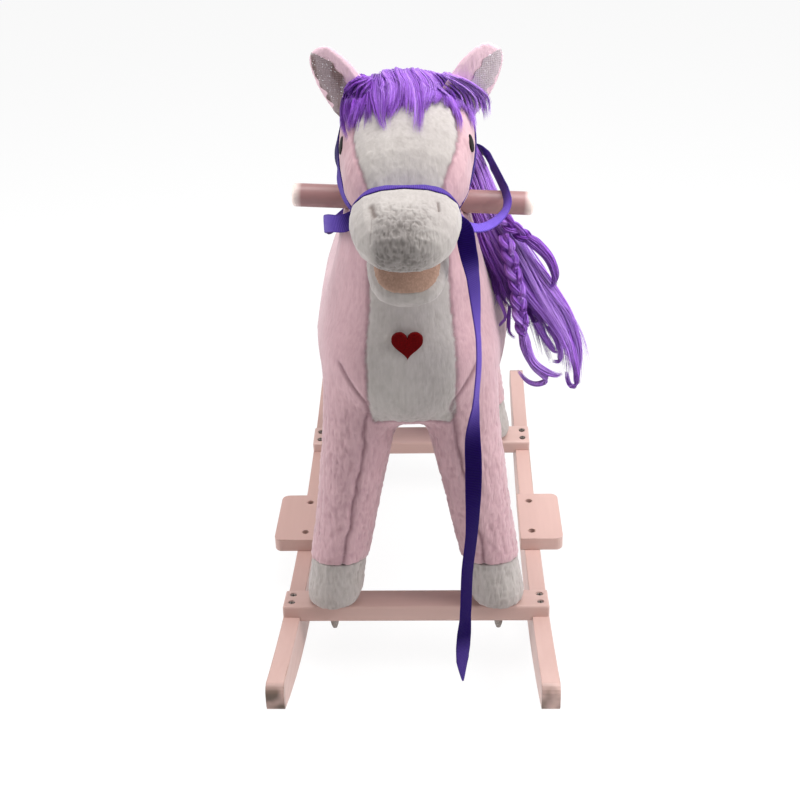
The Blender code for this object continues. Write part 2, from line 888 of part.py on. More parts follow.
def form_rings(start, length, width, depth, form, place):
    """Rings from a table of shares: place maps a row to centre, across, up."""
    rings = []
    for row in form:
        centre, across, up = place(start + length * row[0], row)
        rings.append((centre, across * width / 2 * row[1], up * depth / 2 * row[2]))
    return rings


def make_torso():
    def place(y, row):
        return Vector((0, y, TORSO_Z + TORSO_DEPTH * row[3])), X_AXIS, Z_AXIS

    rings = form_rings(
        TORSO_FRONT, TORSO_LENGTH, TORSO_WIDTH, TORSO_DEPTH, TORSO_FORM, place
    )
    return soft_form("torso", rings, 10, "pink_plush")


def make_neck():
    def place(z, row):
        return Vector((0, NECK_FOOT_Y + NECK_HEIGHT * row[3], z)), X_AXIS, Y_AXIS

    rings = form_rings(NECK_FOOT_Z, NECK_HEIGHT, NECK_WIDTH, NECK_DEPTH, NECK_FORM, place)
    return soft_form("neck", rings, 10, "pink_plush")


def make_head_form(name, start, length, width, depth, form, sides, material, power=1.0,
                   drop=0.0):
    def place(along, row):
        return head_point(along, depth * row[3] - drop), X_AXIS, HEAD_UP

    rings = form_rings(start, length, width, depth, form, place)
    return soft_form(name, rings, sides, material, power)


def make_jaw():
    """The jaw and its lining hang from an empty on the hinge's axis."""
    hinge = head_point(JAW_HINGE_ALONG, -JAW_HINGE_DROP)
    jaw = make_head_form(
        "lower_jaw", JAW_START, JAW_LENGTH, JAW_WIDTH, JAW_DEPTH, JAW_FORM, 8, "cream_plush",
        drop=JAW_DROP,
    )
    lining = make_head_form(
        "mouth_lining", LINING_START, LINING_LENGTH, LINING_WIDTH, LINING_DEPTH,
        LINING_FORM, 6, "mouth_cloth", drop=LINING_DROP,
    )
    half = X_AXIS * JAW_PIN_LENGTH / 2
    pin = dowel("jaw_pin", hinge - half, hinge + half, JAW_PIN_RADIUS, "steel", 12)
    hang_from("jaw_hinge", hinge, (jaw, lining))
    return jaw, lining, pin


def jaw_pocket():
    """The room that the jaw and its lining sweep, to be cut from the head."""
    rings = []
    for share, wide, deep, lift in JAW_FORM:
        along = JAW_START + JAW_LENGTH * share
        reach = abs(along - JAW_HINGE_ALONG)
        rise, fall = reach * JAW_CLOSES, reach * JAW_OPENS
        if along > LINING_START:
            rise += LINING_DEPTH / 2
        across = X_AXIS * (JAW_WIDTH / 2 * wide + JAW_GAP)
        half = JAW_DEPTH / 2 * deep + (rise + fall) / 2 + JAW_GAP
        centre = head_point(along, JAW_DEPTH * lift - JAW_DROP + (rise - fall) / 2)
        rings.append((centre, across, HEAD_UP * half))
    rings[0] = (rings[0][0] - HEAD_AXIS * JAW_GAP, *rings[0][1:])
    return soft_form("jaw_pocket", rings, 8)


def hang_from(name, place, pieces):
    """Parents pieces to an empty on their joint's axis, where they already are."""
    empty = bpy.data.objects.new(name, None)
    PARTS.objects.link(empty)
    empty.location = place
    for piece in pieces:
        piece.parent = empty
        piece.matrix_parent_inverse = Matrix.Translation(-Vector(place))
    return empty


def make_legs():
    """Each hoof and leg is a stack of rings about the line of its post."""
    legs, hooves = {}, {}
    for end, sign in ENDS:
        for side, hand in SIDES:
            foot, top = leg_foot(sign, hand), leg_top(sign, hand)
            axis = (top - foot) / (top.z - foot.z)

            def ring(height, across, lengthwise, bulge=0.0):
                centre = foot + axis * height + X_AXIS * hand * LEG_RADIUS * bulge
                return centre, X_AXIS * across, Y_AXIS * lengthwise

            rise = LEG_TOP_Z - foot.z - HOOF_HEIGHT
            hoof_rings = [
                ring(HOOF_HEIGHT * share, HOOF_RADIUS * wide, HOOF_RADIUS * wide)
                for share, wide in HOOF_FORM
            ]
            leg_rings = [
                ring(HOOF_HEIGHT + rise * share, LEG_RADIUS * wide, LEG_RADIUS * deep, bulge)
                for share, wide, deep, bulge in LEG_FORM
            ]
            hoof = soft_form(f"hoof_{end}_{side}", hoof_rings, 8, "cream_plush")
            leg = soft_form(f"leg_{end}_{side}", leg_rings, 8, "pink_plush")
            level_base(hoof, foot)
            seam_apart(leg, hoof, foot.z + HOOF_HEIGHT)
            legs[end, side], hooves[end, side] = leg, hoof
    return legs, hooves


def level_base(hoof, foot):
    """Trims a hoof flat where it stands on its crossbar."""
    reach = CUTTER_REACH
    top = BAR_TOP + GAP + HOOF_SOLE
    base = box(f"{hoof.name}_seat", (-reach, -reach, -reach), (reach, reach, top))
    base.matrix_world = arc_place(math.copysign(CROSSBAR_ARC, foot.y))
    cut(hoof, base)


def seam_apart(leg, hoof, height):
    """Ends a leg and its hoof level at the seam between them."""
    reach = CUTTER_REACH
    half = SOFT_GAP / 2
    below = box(f"{leg.name}_end", (-reach, -2 * reach, -reach), (reach, 2 * reach, height + half))
    above = box(f"{hoof.name}_end", (-reach, -2 * reach, height - half), (reach, 2 * reach, 2 * reach))
    cut(leg, below)
    cut(hoof, above)


def ear_frame(hand):
    """Base and axes of an ear: along it, across it, and out of its open face."""
    base = head_point(EAR_ALONG, EAR_UP, hand * EAR_OUT)
    along = Z_AXIS * math.cos(EAR_LEAN) + X_AXIS * hand * math.sin(EAR_LEAN)
    face = -Y_AXIS * math.cos(EAR_TURN) + X_AXIS * hand * math.sin(EAR_TURN)
    face = (face - along * face.dot(along)).normalized()
    return base, along, along.cross(face), face


def lined(share):
    return EAR_LINING_START + (EAR_LINING_END - EAR_LINING_START) * share


def make_ears():
    ears, linings = {}, {}
    for side, hand in SIDES:
        base, along, across, face = ear_frame(hand)
        rings = [
            (
                base + along * EAR_LENGTH * share,
                across * EAR_WIDTH / 2 * wide,
                face * EAR_THICK / 2 * thick,
            )
            for share, wide, thick in EAR_FORM
        ]
        ears[side] = soft_form(f"ear_{side}", rings, 6, "pink_plush")
        rings = [
            (
                base + along * EAR_LENGTH * lined(share) + face * EAR_THICK * EAR_LINING_RISE,
                across * EAR_WIDTH / 2 * wide * EAR_LINING_INSET,
                face * (EAR_THICK * EAR_LINING_FULL * thick + EAR_LINING_THICK),
            )
            for share, wide, thick in EAR_FORM
        ]
        linings[side] = soft_form(f"ear_lining_{side}", rings[::2], 6, "ear_cloth")
        clear_of(linings[side], (ears[side],))
    return ears, linings


def make_eyes(head):
    made = {}
    for side, hand in SIDES:
        inside = head_point(EYE_ALONG, EYE_UP)
        spot = surface_point(head, inside, X_AXIS * hand) - X_AXIS * hand * EYE_SINK
        bm = bmesh.new()
        bmesh.ops.create_uvsphere(bm, u_segments=14, v_segments=7, radius=EYE_RADIUS)
        eye = add(f"eye_{side}", mesh_from(bm, f"eye_{side}", True), "black_plastic")
        flat = Matrix.Scale(EYE_DEPTH / EYE_RADIUS, 4, Z_AXIS)
        turn = Matrix.Rotation(math.radians(90) * hand, 4, "Y")
        eye.data.transform(flat)
        eye.matrix_world = Matrix.Translation(spot) @ turn
        made[side] = eye
    return made


# Hair

def make_forelock():
    rings = []
    count = 7
    for i in range(count):
        share = i / (count - 1)
        angle = FORELOCK_FROM + (FORELOCK_TO - FORELOCK_FROM) * share
        inset = FORELOCK_END + (1 - 2 * FORELOCK_END) * share
        taper = math.sin(math.pi * inset) ** FORELOCK_FILL
        out = X_AXIS * rounder(math.sin(angle), HEAD_POWER) * HEAD_WIDTH / 2
        up = HEAD_UP * rounder(math.cos(angle), HEAD_POWER) * HEAD_DEPTH / 2 * FORELOCK_BED
        radial = (out + up).normalized()
        centre = head_point(FORELOCK_ALONG) + out + up
        rings.append(
            (centre, HEAD_AXIS * FORELOCK_HALF * taper, radial * FORELOCK_THICK * taper)
        )
    return soft_form("forelock", rings, 6, "purple_hair")


def make_mane():
    """Hair from the crest of the neck, gathered as it falls on the left."""
    root = Vector((MANE_ROOT_X, MANE_ROOT_Y, MANE_ROOT_Z))
    places = [root + Vector(row[0]) * MANE_DROP for row in MANE_FORM]
    rings = []
    for i, (_, lean, wide, thick) in enumerate(MANE_FORM):
        run = places[min(i + 1, len(places) - 1)] - places[max(i - 1, 0)]
        lean = math.radians(lean)
        across = Z_AXIS * math.cos(lean) - Y_AXIS * math.sin(lean)
        out = run.cross(across).normalized()
        rings.append(
            (places[i], across * MANE_WIDTH / 2 * wide, out * MANE_THICK / 2 * thick)
        )
    return soft_form("mane", rings, 8, "purple_hair")


def make_tail(torso):
    root = surface_point(torso, (0, TORSO_FRONT + 2 * TORSO_LENGTH, TAIL_ROOT_Z), -Y_AXIS)
    places = [root + Vector((0, back, -below)) * TAIL_LENGTH for back, below, _ in TAIL_FORM]
    rings = []
    for i, (_, _, wide) in enumerate(TAIL_FORM):
        run = places[min(i + 1, len(places) - 1)] - places[max(i - 1, 0)]
        across = X_AXIS * TAIL_WIDTH / 2 * wide
        rings.append((places[i], across, run.cross(X_AXIS).normalized() * across.length))
    tail = soft_form("tail", rings, 6, "purple_hair")
    hang_from("tail_hinge", root, (tail,))
    return tail


# Heart and bridle

def heart_outline():
    """A plain heart from the usual pair of trigonometric sums."""
    points = []
    count = 28
    for i in range(count):
        angle = 2 * math.pi * i / count
        x = math.sin(angle) ** 3
        y = (
            13 * math.cos(angle) - 5 * math.cos(2 * angle)
            - 2 * math.cos(3 * angle) - math.cos(4 * angle)
        )
        points.append(
            (x * HEART_WIDTH / 2, (y + HEART_MIDDLE) / HEART_SPAN * HEART_HEIGHT)
        )
    return points


def make_heart(torso, neck):
    front = min(
        surface_point(form, (0, 2 * TORSO_FRONT, HEART_Z), Y_AXIS).y
        for form in (torso, neck)
    )
    thickness = HEART_THICK + HEART_BEDDING
    centre = (0, front - HEART_THICK + thickness / 2, HEART_Z)
    place = Matrix.Translation(centre) @ Matrix.Rotation(math.radians(90), 4, "X")
    heart = plate("chest_heart", heart_outline(), thickness, place, "red_felt")
    clear_of(heart, (torso, neck))
    return heart


def slab(name, along, up, tilt, thickness, low=-CUTTER_REACH):
    """A cutter square to a line in the head's own side plane."""
    reach = CUTTER_REACH
    body = box(name, (-reach, -thickness / 2, low), (reach, thickness / 2, reach))
    normal = HEAD_AXIS * math.cos(tilt) + HEAD_UP * math.sin(tilt)
    rise = X_AXIS.cross(normal)
    if rise.dot(HEAD_UP) < 0:
        rise.negate()
    side = normal.cross(rise)
    place = Matrix((side, normal, rise)).transposed().to_4x4()
    body.matrix_world = Matrix.Translation(head_point(along, up)) @ place
    return body


def sleeve(name, form):
    """A form as thick again as webbing laid on it, from which a strap is cut."""
    obj = add(name, form.data.copy(), "purple_webbing")
    smoothed(obj, form.modifiers["smooth"].levels, GAP + WEBBING_THICK)
    return obj


def make_noseband(head, muzzle):
    """Webbing over the muzzle, open below so that the jaw can move."""
    band = sleeve("noseband", muzzle)
    cut(
        band,
        slab("noseband_slab", NOSEBAND_ALONG, 0, 0, WEBBING_WIDTH, -NOSEBAND_DROP),
        "INTERSECT",
    )
    clear_of(band, (muzzle, head), GAP)
    return band


def make_headstall(head, muzzle, noseband):
    """Cheek straps and crown strap in one, from the noseband round the poll."""
    strap = sleeve("headstall", head)
    tilt = math.radians(90) - HEADSTALL_RISE
    cut(
        strap,
        slab("headstall_slab", NOSEBAND_ALONG, -HEADSTALL_DROP, tilt, WEBBING_WIDTH),
        "INTERSECT",
    )
    clear_of(strap, (head, muzzle), GAP)
    reach = CUTTER_REACH
    front = box("headstall_front", (-reach, 0, -reach), (reach, reach, reach))
    front.matrix_world = slab_place(NOSEBAND_ALONG - WEBBING_WIDTH / 2 - GAP)
    cut(strap, front)
    return strap


def slab_place(along):
    """A frame at a length along the head, its Y running on towards the nose."""
    rise = HEAD_UP
    side = HEAD_AXIS.cross(rise)
    place = Matrix((side, HEAD_AXIS, rise)).transposed().to_4x4()
    return Matrix.Translation(head_point(along)) @ place


def smooth_route(route, step):
    """Points a step apart on a smooth curve through a route's points."""
    points = [Vector(p) for p in route]
    padded = [2 * points[0] - points[1], *points, 2 * points[-1] - points[-2]]
    dense = []
    for a, b, c, d in zip(padded, padded[1:], padded[2:], padded[3:]):
        for i in range(12):
            t = i / 12
            dense.append(
                0.5 * (2 * b + (c - a) * t + (2 * a - 5 * b + 4 * c - d) * t**2
                       + (3 * b - a - 3 * c + d) * t**3)
            )
    dense.append(points[-1])
    length = sum((q - p).length for p, q in zip(dense, dense[1:]))
    count = max(2, round(length / step))
    spaced, gone, target = [dense[0]], 0.0, length / count
    for p, q in zip(dense, dense[1:]):
        run = (q - p).length
        while len(spaced) < count and gone + run >= target * len(spaced):
            spaced.append(p.lerp(q, (target * len(spaced) - gone) / run))
        gone += run
    spaced.append(points[-1])
    return spaced


def cord(name, route, radius, material, free_end=False):
    """A tube along a smooth route, straight where it leaves what it is sewn to."""
    if free_end:
        points = [Vector(route[0]), *smooth_route(route[1:], CORD_STEP)]
    else:
        points = [Vector(route[0]), *smooth_route(route[1:-1], CORD_STEP), Vector(route[-1])]
    curve = bpy.data.curves.new(name, "CURVE")
    curve.dimensions = "3D"
    curve.bevel_depth = radius
    curve.bevel_resolution = 2
    curve.use_fill_caps = True
    spline = curve.splines.new("POLY")
    spline.points.add(len(points) - 1)
    for point, place in zip(spline.points, points):
        point.co = (*place, 1)
    obj = bpy.data.objects.new(name, curve)
    curve.materials.append(MATERIALS[material])
    PARTS.objects.link(obj)
    return obj


# Assembly

def build_base():
    rockers = make_rockers()
    crossbars = make_crossbars()
    footrests = make_footrests()
    make_crossbar_screws(rockers, crossbars)
    make_footrest_screws(rockers, footrests)
    return crossbars


def build_pony(crossbars):
    spine = make_spine_board()
    posts = make_leg_posts(crossbars, spine)
    make_leg_bolts(crossbars, posts)
    neck_post = make_neck_post(spine)
    handlebar, bore = make_handlebar(neck_post)

    torso = make_torso()
    neck = make_neck()
    head = make_head_form(
        "head", 0, HEAD_LENGTH, HEAD_WIDTH, HEAD_DEPTH, HEAD_FORM, 10, "pink_plush",
        HEAD_POWER,
    )
    muzzle = make_head_form(
        "muzzle", MUZZLE_START, MUZZLE_LENGTH, MUZZLE_WIDTH, MUZZLE_DEPTH, MUZZLE_FORM,
        8, "cream_plush", MUZZLE_POWER,
    )
    jaw, lining, pin = make_jaw()
    legs, hooves = make_legs()
    ears, ear_linings = make_ears()
    eyes = make_eyes(head)
    forelock = make_forelock()
    mane = make_mane()
    tail = make_tail(torso)
    make_heart(torso, neck)
    noseband = make_noseband(head, muzzle)
    headstall = make_headstall(head, muzzle, noseband)

    all_posts = list(posts.values())
    clear_of(torso, [spine, neck_post, *all_posts], GAP)
    clear_of(neck, (torso,))
    clear_of(neck, (neck_post,), GAP)
    cut(neck, bore)
    clear_of(head, (neck,))
    clear_of(head, (neck_post,), GAP)
    cut(head, bore)
    clear_of(head, eyes.values(), GAP)
    cut(head, jaw_pocket())
    for piece in (head, jaw):
        clear_of(piece, (pin,), GAP)
    clear_of(muzzle, (head,))
    clear_of(lining, (jaw,))
    for key, leg in legs.items():
        clear_of(leg, (torso,))
        clear_of(leg, (spine, posts[key]), GAP)
        clear_of(hooves[key], (posts[key],), GAP)
    for side, _ in SIDES:
        clear_of(ears[side], (head, neck))
        clear_of(headstall, (ears[side], eyes[side]), GAP)
        clear_of(forelock, (ears[side], ear_linings[side], eyes[side]))
    clear_of(headstall, (neck,), GAP)
    clear_of(forelock, (head, muzzle))
    clear_of(mane, (torso, neck, head))
    cut(mane, bore)
    clear_of(tail, (torso,), FLEX_GAP)

    cord("rein_loop", REIN_ROUTE, CORD_RADIUS, "purple_webbing")
    cord("loose_strap", STRAP_ROUTE, CORD_RADIUS, "purple_webbing", free_end=True)


build_pony(build_base())
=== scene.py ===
"""Looks of the plush rocking unicorn: plush skins, hair, webbing, felt and painted wood.

Metres, +Z up, floor at z = 0, the animal faces -Y and its left side is +X.
"""

import itertools
import math

import bmesh
import bpy
import numpy as np
from mathutils import Matrix, Vector
from mathutils.bvhtree import BVHTree


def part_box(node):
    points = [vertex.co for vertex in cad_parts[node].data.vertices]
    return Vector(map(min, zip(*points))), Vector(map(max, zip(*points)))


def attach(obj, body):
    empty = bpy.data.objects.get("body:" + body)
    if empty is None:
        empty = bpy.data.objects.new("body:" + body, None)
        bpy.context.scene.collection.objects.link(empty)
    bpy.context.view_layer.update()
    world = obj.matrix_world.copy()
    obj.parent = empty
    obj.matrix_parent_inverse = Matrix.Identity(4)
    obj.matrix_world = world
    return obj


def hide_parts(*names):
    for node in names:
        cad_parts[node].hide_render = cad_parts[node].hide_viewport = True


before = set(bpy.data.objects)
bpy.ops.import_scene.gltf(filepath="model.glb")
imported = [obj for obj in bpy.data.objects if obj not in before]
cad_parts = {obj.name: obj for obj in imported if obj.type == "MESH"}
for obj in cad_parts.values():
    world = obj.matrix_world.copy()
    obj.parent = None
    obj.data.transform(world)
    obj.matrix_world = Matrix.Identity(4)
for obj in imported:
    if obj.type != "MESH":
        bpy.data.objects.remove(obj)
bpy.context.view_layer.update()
SCENE = bpy.context.scene

# Camera, as the photograph was taken
PICTURE = 800
CAMERA_PLACE = (0.0403, -1.3002, 0.9315)
CAMERA_DOWN = 0.4922
CAMERA_SIDE = -0.0454
CAMERA_ROLL = -0.0316
CAMERA_FOCUS = 1264.3
SENSOR = 36.0

# Lamps: name, place, width and power, all aimed at one point
LAMPS = (
    ("right_lamp", (1.45, -0.50, 1.50), 1.2, 28),
    ("left_lamp", (-1.65, -0.15, 1.05), 1.2, 18),
    ("top_lamp", (0.20, -0.22, 2.3), 1.3, 33),
)
LAMP_AIM = Vector((0, 0, 0.35))

# White surround: its light on the object, and the floor's reach, paint and glow
WHITE = (1.0, 1.0, 1.0)
SURROUND_FILL = 0.21
FLOOR_REACH = 9.0
FLOOR_PAINT = (0.86, 0.86, 0.86)
FLOOR_GLOW = 1.06
FLOOR_GLOW_SHARE = 0.86

# Head frame: the axis runs from the poll to the nose, and "up" stands on it
HEAD_BACK = np.array((0.004, -0.1153, 0.631))
HEAD_TILT = math.radians(21.6)
HEAD_AXIS = np.array((0.0, -math.cos(HEAD_TILT), -math.sin(HEAD_TILT)))
HEAD_UP = np.array((0.0, -math.sin(HEAD_TILT), math.cos(HEAD_TILT)))
SIDEWAYS = np.array((1.0, 0.0, 0.0))
UPWARD = np.array((0.0, 0.0, 1.0))

# Plush: how far the pile stands, the size of its clumps, and its seams
PILE = 0.0025
CLUMP = 0.0034
SHORT_PILE = 0.22
PILE_MIDDLE = 0.55
LATTICE = 32
SEAM_DEEP = 0.0016
SEAM_WIDE = 0.0022
# A cream panel's edge: how wide its seam is and how deep and dark, the dark being painted shade,
# over what width the colours meet, and how far and in what size of clump it wanders
PANEL_SEAM_WIDE = 0.0016
PANEL_SEAM_DARK = 0.75
PANEL_BLEND = 0.0012
PANEL_RAGGED = 0.0022
PANEL_RAGGED_CLUMP = 0.0035
LEG_TOP = 0.336
HOOF_LEVELS = 30
# Start and end of each nostril crease along and beside the head's axis, how fast it fades, and
# how faint it is; the last is a crease below the right nostril
NOSTRIL_CREASES = (
    ((0.2047, -0.0271), (0.2143, -0.0244), 0.8, 0.0),
    ((0.2012, 0.0277), (0.2091, 0.0284), 1.9, 0.0),
    ((0.2165, -0.0266), (0.2330, -0.0275), 1.7, 0.0019),
)

# Webbing
WEBBING_WIDTH = 0.016
WEBBING_THICK = 0.0018
WEBBING_SIDES = 20
WEBBING_ROUNDING = (0.35, 0.8)
# Webbing colours: where it faces the eye, and the pale colour of painted sheen where it turns
# edge-on
WEBBING_DARK = (0.009, 0.0005, 0.075)
WEBBING_SHEEN = (0.215, 0.130, 0.680)
NOSEBAND_ALONG = 0.180
NOSEBAND_FRONT = 0.188
HEADSTALL_RISE = math.radians(10.9)
HEADSTALL_DROP = 0.015

# The rein and the loose strap, as the solids run
REIN_ROUTE = (
    (0.0461, -0.2660, 0.5576), (0.0505, -0.2670, 0.5520), (0.0590, -0.2662, 0.5455),
    (0.0712, -0.2580, 0.5425), (0.0835, -0.2370, 0.5418), (0.0920, -0.2080, 0.5425),
    (0.0932, -0.1830, 0.5445), (0.0912, -0.1630, 0.5465), (0.0868, -0.1420, 0.5510),
    (0.0825, -0.1200, 0.5540), (0.0790, -0.0960, 0.5545), (0.0710, -0.0660, 0.5530),
    (0.0530, -0.0440, 0.5500), (0.0270, -0.0350, 0.5480), (0.0000, -0.0350, 0.5440),
    (-0.0290, -0.0480, 0.5240), (-0.0570, -0.0780, 0.4990), (-0.0745, -0.1180, 0.4945),
    (-0.0775, -0.1600, 0.5105), (-0.0740, -0.1980, 0.5245), (-0.0705, -0.2300, 0.5370),
    (-0.0630, -0.2560, 0.5470), (-0.0520, -0.2655, 0.5500), (-0.0425, -0.2668, 0.5541),
    (-0.0381, -0.2660, 0.5576),
)
STRAP_ROUTE = (
    (0.0472, -0.2818, 0.5537), (0.0511, -0.2794, 0.5508), (0.0540, -0.2800, 0.5450),
    (0.0560, -0.2815, 0.5320), (0.0605, -0.2830, 0.5080), (0.0640, -0.2830, 0.4700),
    (0.0660, -0.2830, 0.4250), (0.0630, -0.2830, 0.3800), (0.0605, -0.2830, 0.3480),
    (0.0612, -0.2830, 0.3040), (0.0597, -0.2830, 0.2430), (0.0550, -0.2830, 0.1930),
    (0.0532, -0.2830, 0.1440), (0.0500, -0.2840, 0.0900), (0.0500, -0.2840, 0.0560),
)

# Hair: a direction that no strand runs along, the mean tone with its spread by lock and by
# hair, the tones' lowest, and the hairs' radii
ASKEW = (0.31, 0.22, 0.93)
STRAND_TONES = (0.50, 0.14, 0.16)
DARKEST = 0.03
DARKEST_MANE = 0.02
MANE_RADIUS = 0.00048
LOOSE_RADIUS = 0.00046
TAIL_RADIUS = 0.00050
FORELOCK_RADIUS = 0.00040
# Guides of the mane in millimetres, from the outermost hair to the one nearest the neck
MM = 1000
MANE_CLEARANCE = 0.006
MANE_STEPS = 34
MANE_CORE_STEPS = 28
MANE_GUIDES = (
    ((0, -98, 604), (30, -80, 592), (66, -80, 556), (86, -90, 511), (112, -106, 471),
     (140, -120, 428), (162, -134, 390), (174, -148, 353), (170, -154, 330)),
    ((0, -90, 588), (30, -78, 577), (60, -84, 550), (80, -96, 499), (108, -112, 456),
     (135, -128, 415), (156, -144, 377), (163, -157, 339)),
    ((0, -82, 570), (28, -78, 560), (54, -88, 534), (71, -101, 486), (99, -117, 443),
     (127, -133, 404), (148, -149, 371), (152, -156, 354)),
    ((0, -74, 550), (28, -80, 544), (52, -92, 519), (65, -106, 470), (84, -122, 427),
     (106, -138, 396)),
    ((0, -68, 532), (28, -84, 532), (52, -95, 514), (61, -108, 466), (75, -124, 427),
     (88, -137, 402)),
)
# Name, first and last guide, locks, hairs in each, and how much paler they are painted: paler
# outside as painted light, darker near the neck as painted shade
MANE_SPANS = (
    ("outer", 0.0, 1.3, 22, 36, 0.34),
    ("middle", 1.3, 2.7, 22, 36, 0.12),
    ("inner", 2.7, 4.0, 20, 34, -0.14),
)
# Line, half width in metres, and number of crossings
MANE_BRAIDS = (
    (((88, -122, 504), (103, -127, 492), (118, -131, 482)), 0.0044, 1.0),
    (((94, -130, 486), (100, -140, 467), (103, -144, 454), (107, -148, 437), (109, -152, 421),
      (111, -156, 405), (114, -158, 389)), 0.0050, 2.3),
)
# Line, hairs, and spread in metres, of the ends and wisps that part from the sheet
MANE_ENDS = (
    (((113, -157, 391), (117, -159, 374), (124, -161, 360), (136, -162, 351), (147, -163, 347),
      (154, -163, 349)), 90, 0.0058),
    (((112, -157, 390), (117, -159, 372), (125, -161, 356), (137, -162, 343), (129, -162, 337),
      (118, -162, 340), (107, -161, 352)), 60, 0.0042),
    (((116, -130, 483), (128, -132, 474), (139, -134, 461), (145, -136, 443),
      (141, -136, 429)), 80, 0.0060),
    (((140, -126, 427), (157, -138, 395), (164, -152, 366), (168, -158, 346), (167, -159, 333),
      (160, -160, 336), (157, -160, 351)), 90, 0.0052),
    (((121, -120, 452), (140, -128, 427), (157, -136, 403), (166, -144, 380), (170, -151, 357),
      (168, -156, 337)), 150, 0.0085),
    (((126, -146, 399), (135, -150, 383), (144, -154, 371), (150, -156, 370)), 60, 0.0045),
    (((140, -146, 395), (147, -150, 383), (151, -154, 371), (150, -156, 360),
      (143, -157, 360)), 60, 0.0042),
    (((66, -77, 555), (75, -88, 527), (81, -94, 515)), 50, 0.0045),
    (((88, -136, 424), (96, -142, 404), (92, -143, 397), (86, -144, 394)), 20, 0.0018),
    (((100, -140, 414), (99, -144, 392), (101, -146, 386), (107, -147, 381)), 20, 0.0018),
)
# The tail: its width, and at each place behind and below the root a share of that width
TAIL_WIDTH = 0.054
TAIL_FORM = (
    (-0.006, 0.000, 0.36), (0.014, 0.003, 0.46), (0.040, 0.030, 0.78), (0.054, 0.090, 1.00),
    (0.052, 0.155, 0.92), (0.045, 0.210, 0.52), (0.042, 0.228, 0.16),
)
# Guides of the fringe from root to tip, five places each in tenths of a millimetre, from the
# animal's right to its left, and the spread of each one's lock in the same unit
TENTH_MM = 10000
FORELOCK_GUIDES = (
    (-340, -1300, 6400, -370, -1890, 6606, -475, -1915, 6535, -510, -1920, 6345, -440, -2420, 6193),
    (-310, -1300, 6420, -344, -1870, 6600, -429, -1950, 6468, -455, -2050, 6320, -380, -2455, 6222),
    (-280, -1300, 6430, -314, -1770, 6565, -369, -1960, 6424, -378, -2195, 6322, -413, -2419, 6203),
    (-260, -1280, 6430, -280, -1600, 6510, -281, -1908, 6430, -300, -2248, 6353, -323, -2438, 6277),
    (-200, -1280, 6440, -215, -1500, 6490, -215, -1784, 6440, -175, -2332, 6374, -134, -2580, 6263),
    (-140, -1280, 6450, -151, -1500, 6490, -99, -1781, 6450, -84, -2215, 6409, -119, -2496, 6315),
    (-80, -1280, 6450, -87, -1500, 6480, -26, -1818, 6460, -39, -2280, 6400, -95, -2442, 6343),
    (-10, -1280, 6440, -19, -1468, 6470, 27, -1830, 6455, 22, -2140, 6431, 6, -2372, 6381),
    (50, -1280, 6440, 64, -1484, 6475, 130, -1873, 6450, 158, -2312, 6388, 135, -2629, 6238),
    (120, -1280, 6440, 136, -1444, 6470, 230, -1802, 6444, 242, -2105, 6417, 205, -2338, 6377),
    (180, -1280, 6430, 198, -1374, 6465, 310, -1747, 6440, 311, -2028, 6404, 260, -2262, 6389),
    (240, -1280, 6420, 253, -1400, 6475, 381, -1880, 6475, 432, -2129, 6350, 464, -2415, 6238),
    (280, -1280, 6420, 327, -1500, 6510, 452, -1921, 6480, 494, -1980, 6334, 448, -2289, 6306),
    (340, -1300, 6410, 392, -1750, 6570, 540, -1930, 6470, 593, -1960, 6290, 613, -2157, 6142),
    (370, -1300, 6400, 427, -1850, 6590, 584, -1930, 6485, 660, -1900, 6320, 680, -1985, 6190),
    (400, -1300, 6380, 461, -1910, 6600, 628, -1910, 6500, 719, -1850, 6340, 747, -1840, 6175),
    (420, -1300, 6370, 496, -1921, 6600, 663, -1900, 6496, 765, -1800, 6325, 778, -1850, 6185),
)
FORELOCK_SPREADS = (40, 40, 36, 38, 42, 40, 36, 46, 36, 40, 40, 38, 40, 40, 42, 42, 38)

# Eyes: radius, height of the dome, how far it is set in, and the depth of its rim
EYE_RADIUS = 0.0078
EYE_CROWN = 0.0011
EYE_SINK = 0.0006
EYE_RIM = 0.0015
# Heart: how far its rim stands back from its front, its crown, its tip, its fuzz and its back
HEART_RIM = 0.0006
HEART_CROWN = 0.0009
HEART_TIP = 0.0003
HEART_FUZZ = 0.00025
HEART_BACK = 0.0045
# Screws: the shank's share of the radius, the depths of its top and of the head's rim, the
# recess's depth, where the rim's slope starts and how wide it is, and the cross
SHANK_SHARE = 0.45
SHANK_TOP = 0.0045
HEAD_RIM = 0.0035
RECESS_DEEP = 0.0007
RIM_START = 0.72
RIM_SLOPE = 0.08
CROSS_HALF = 0.13
CROSS_REACH = 0.62
# Handlebar: the radius of its rounded ends, and the length at each end that is painted pale as
# painted light
BAR_CORNER = 0.0035
BAR_PALE_END = 0.008
# Ear linings: first and last row as shares of the ear's height, the height where they end,
# how far they stand off the ear, and their thickness
LINING_ROWS = (0.05, 0.90)
LINING_END = 0.915
LINING_OFF = 0.0005
LINING_THICK = 0.0010
# Share of the ear's width that the lining covers, from the base to the tip
LINING_SHARE = {
    "left": (0.60, 0.64, 0.56, 0.46, 0.34),
    "right": (0.66, 0.72, 0.68, 0.56, 0.40),
}
SIDES = ("left", "right")


# Meshes from whole arrays

def linked(name, data):
    """A new object in the scene."""
    thing = bpy.data.objects.new(name, data)
    SCENE.collection.objects.link(thing)
    return thing


def points_of(data):
    """A mesh's points, one row each."""
    places = np.empty(len(data.vertices) * 3, np.float32)
    data.vertices.foreach_get("co", places)
    return places.reshape(-1, 3).astype(float)


def corners_of(data):
    """The point numbers of a mesh's face corners, in their order."""
    corners = np.empty(len(data.loops), np.int32)
    data.loops.foreach_get("vertex_index", corners)
    return corners


def node_points(node):
    """The points of a solid of the frame."""
    return points_of(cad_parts[node].data)


def circle(sides):
    """Angles spread evenly over a full turn."""
    return np.linspace(0, 2 * math.pi, sides, endpoint=False)


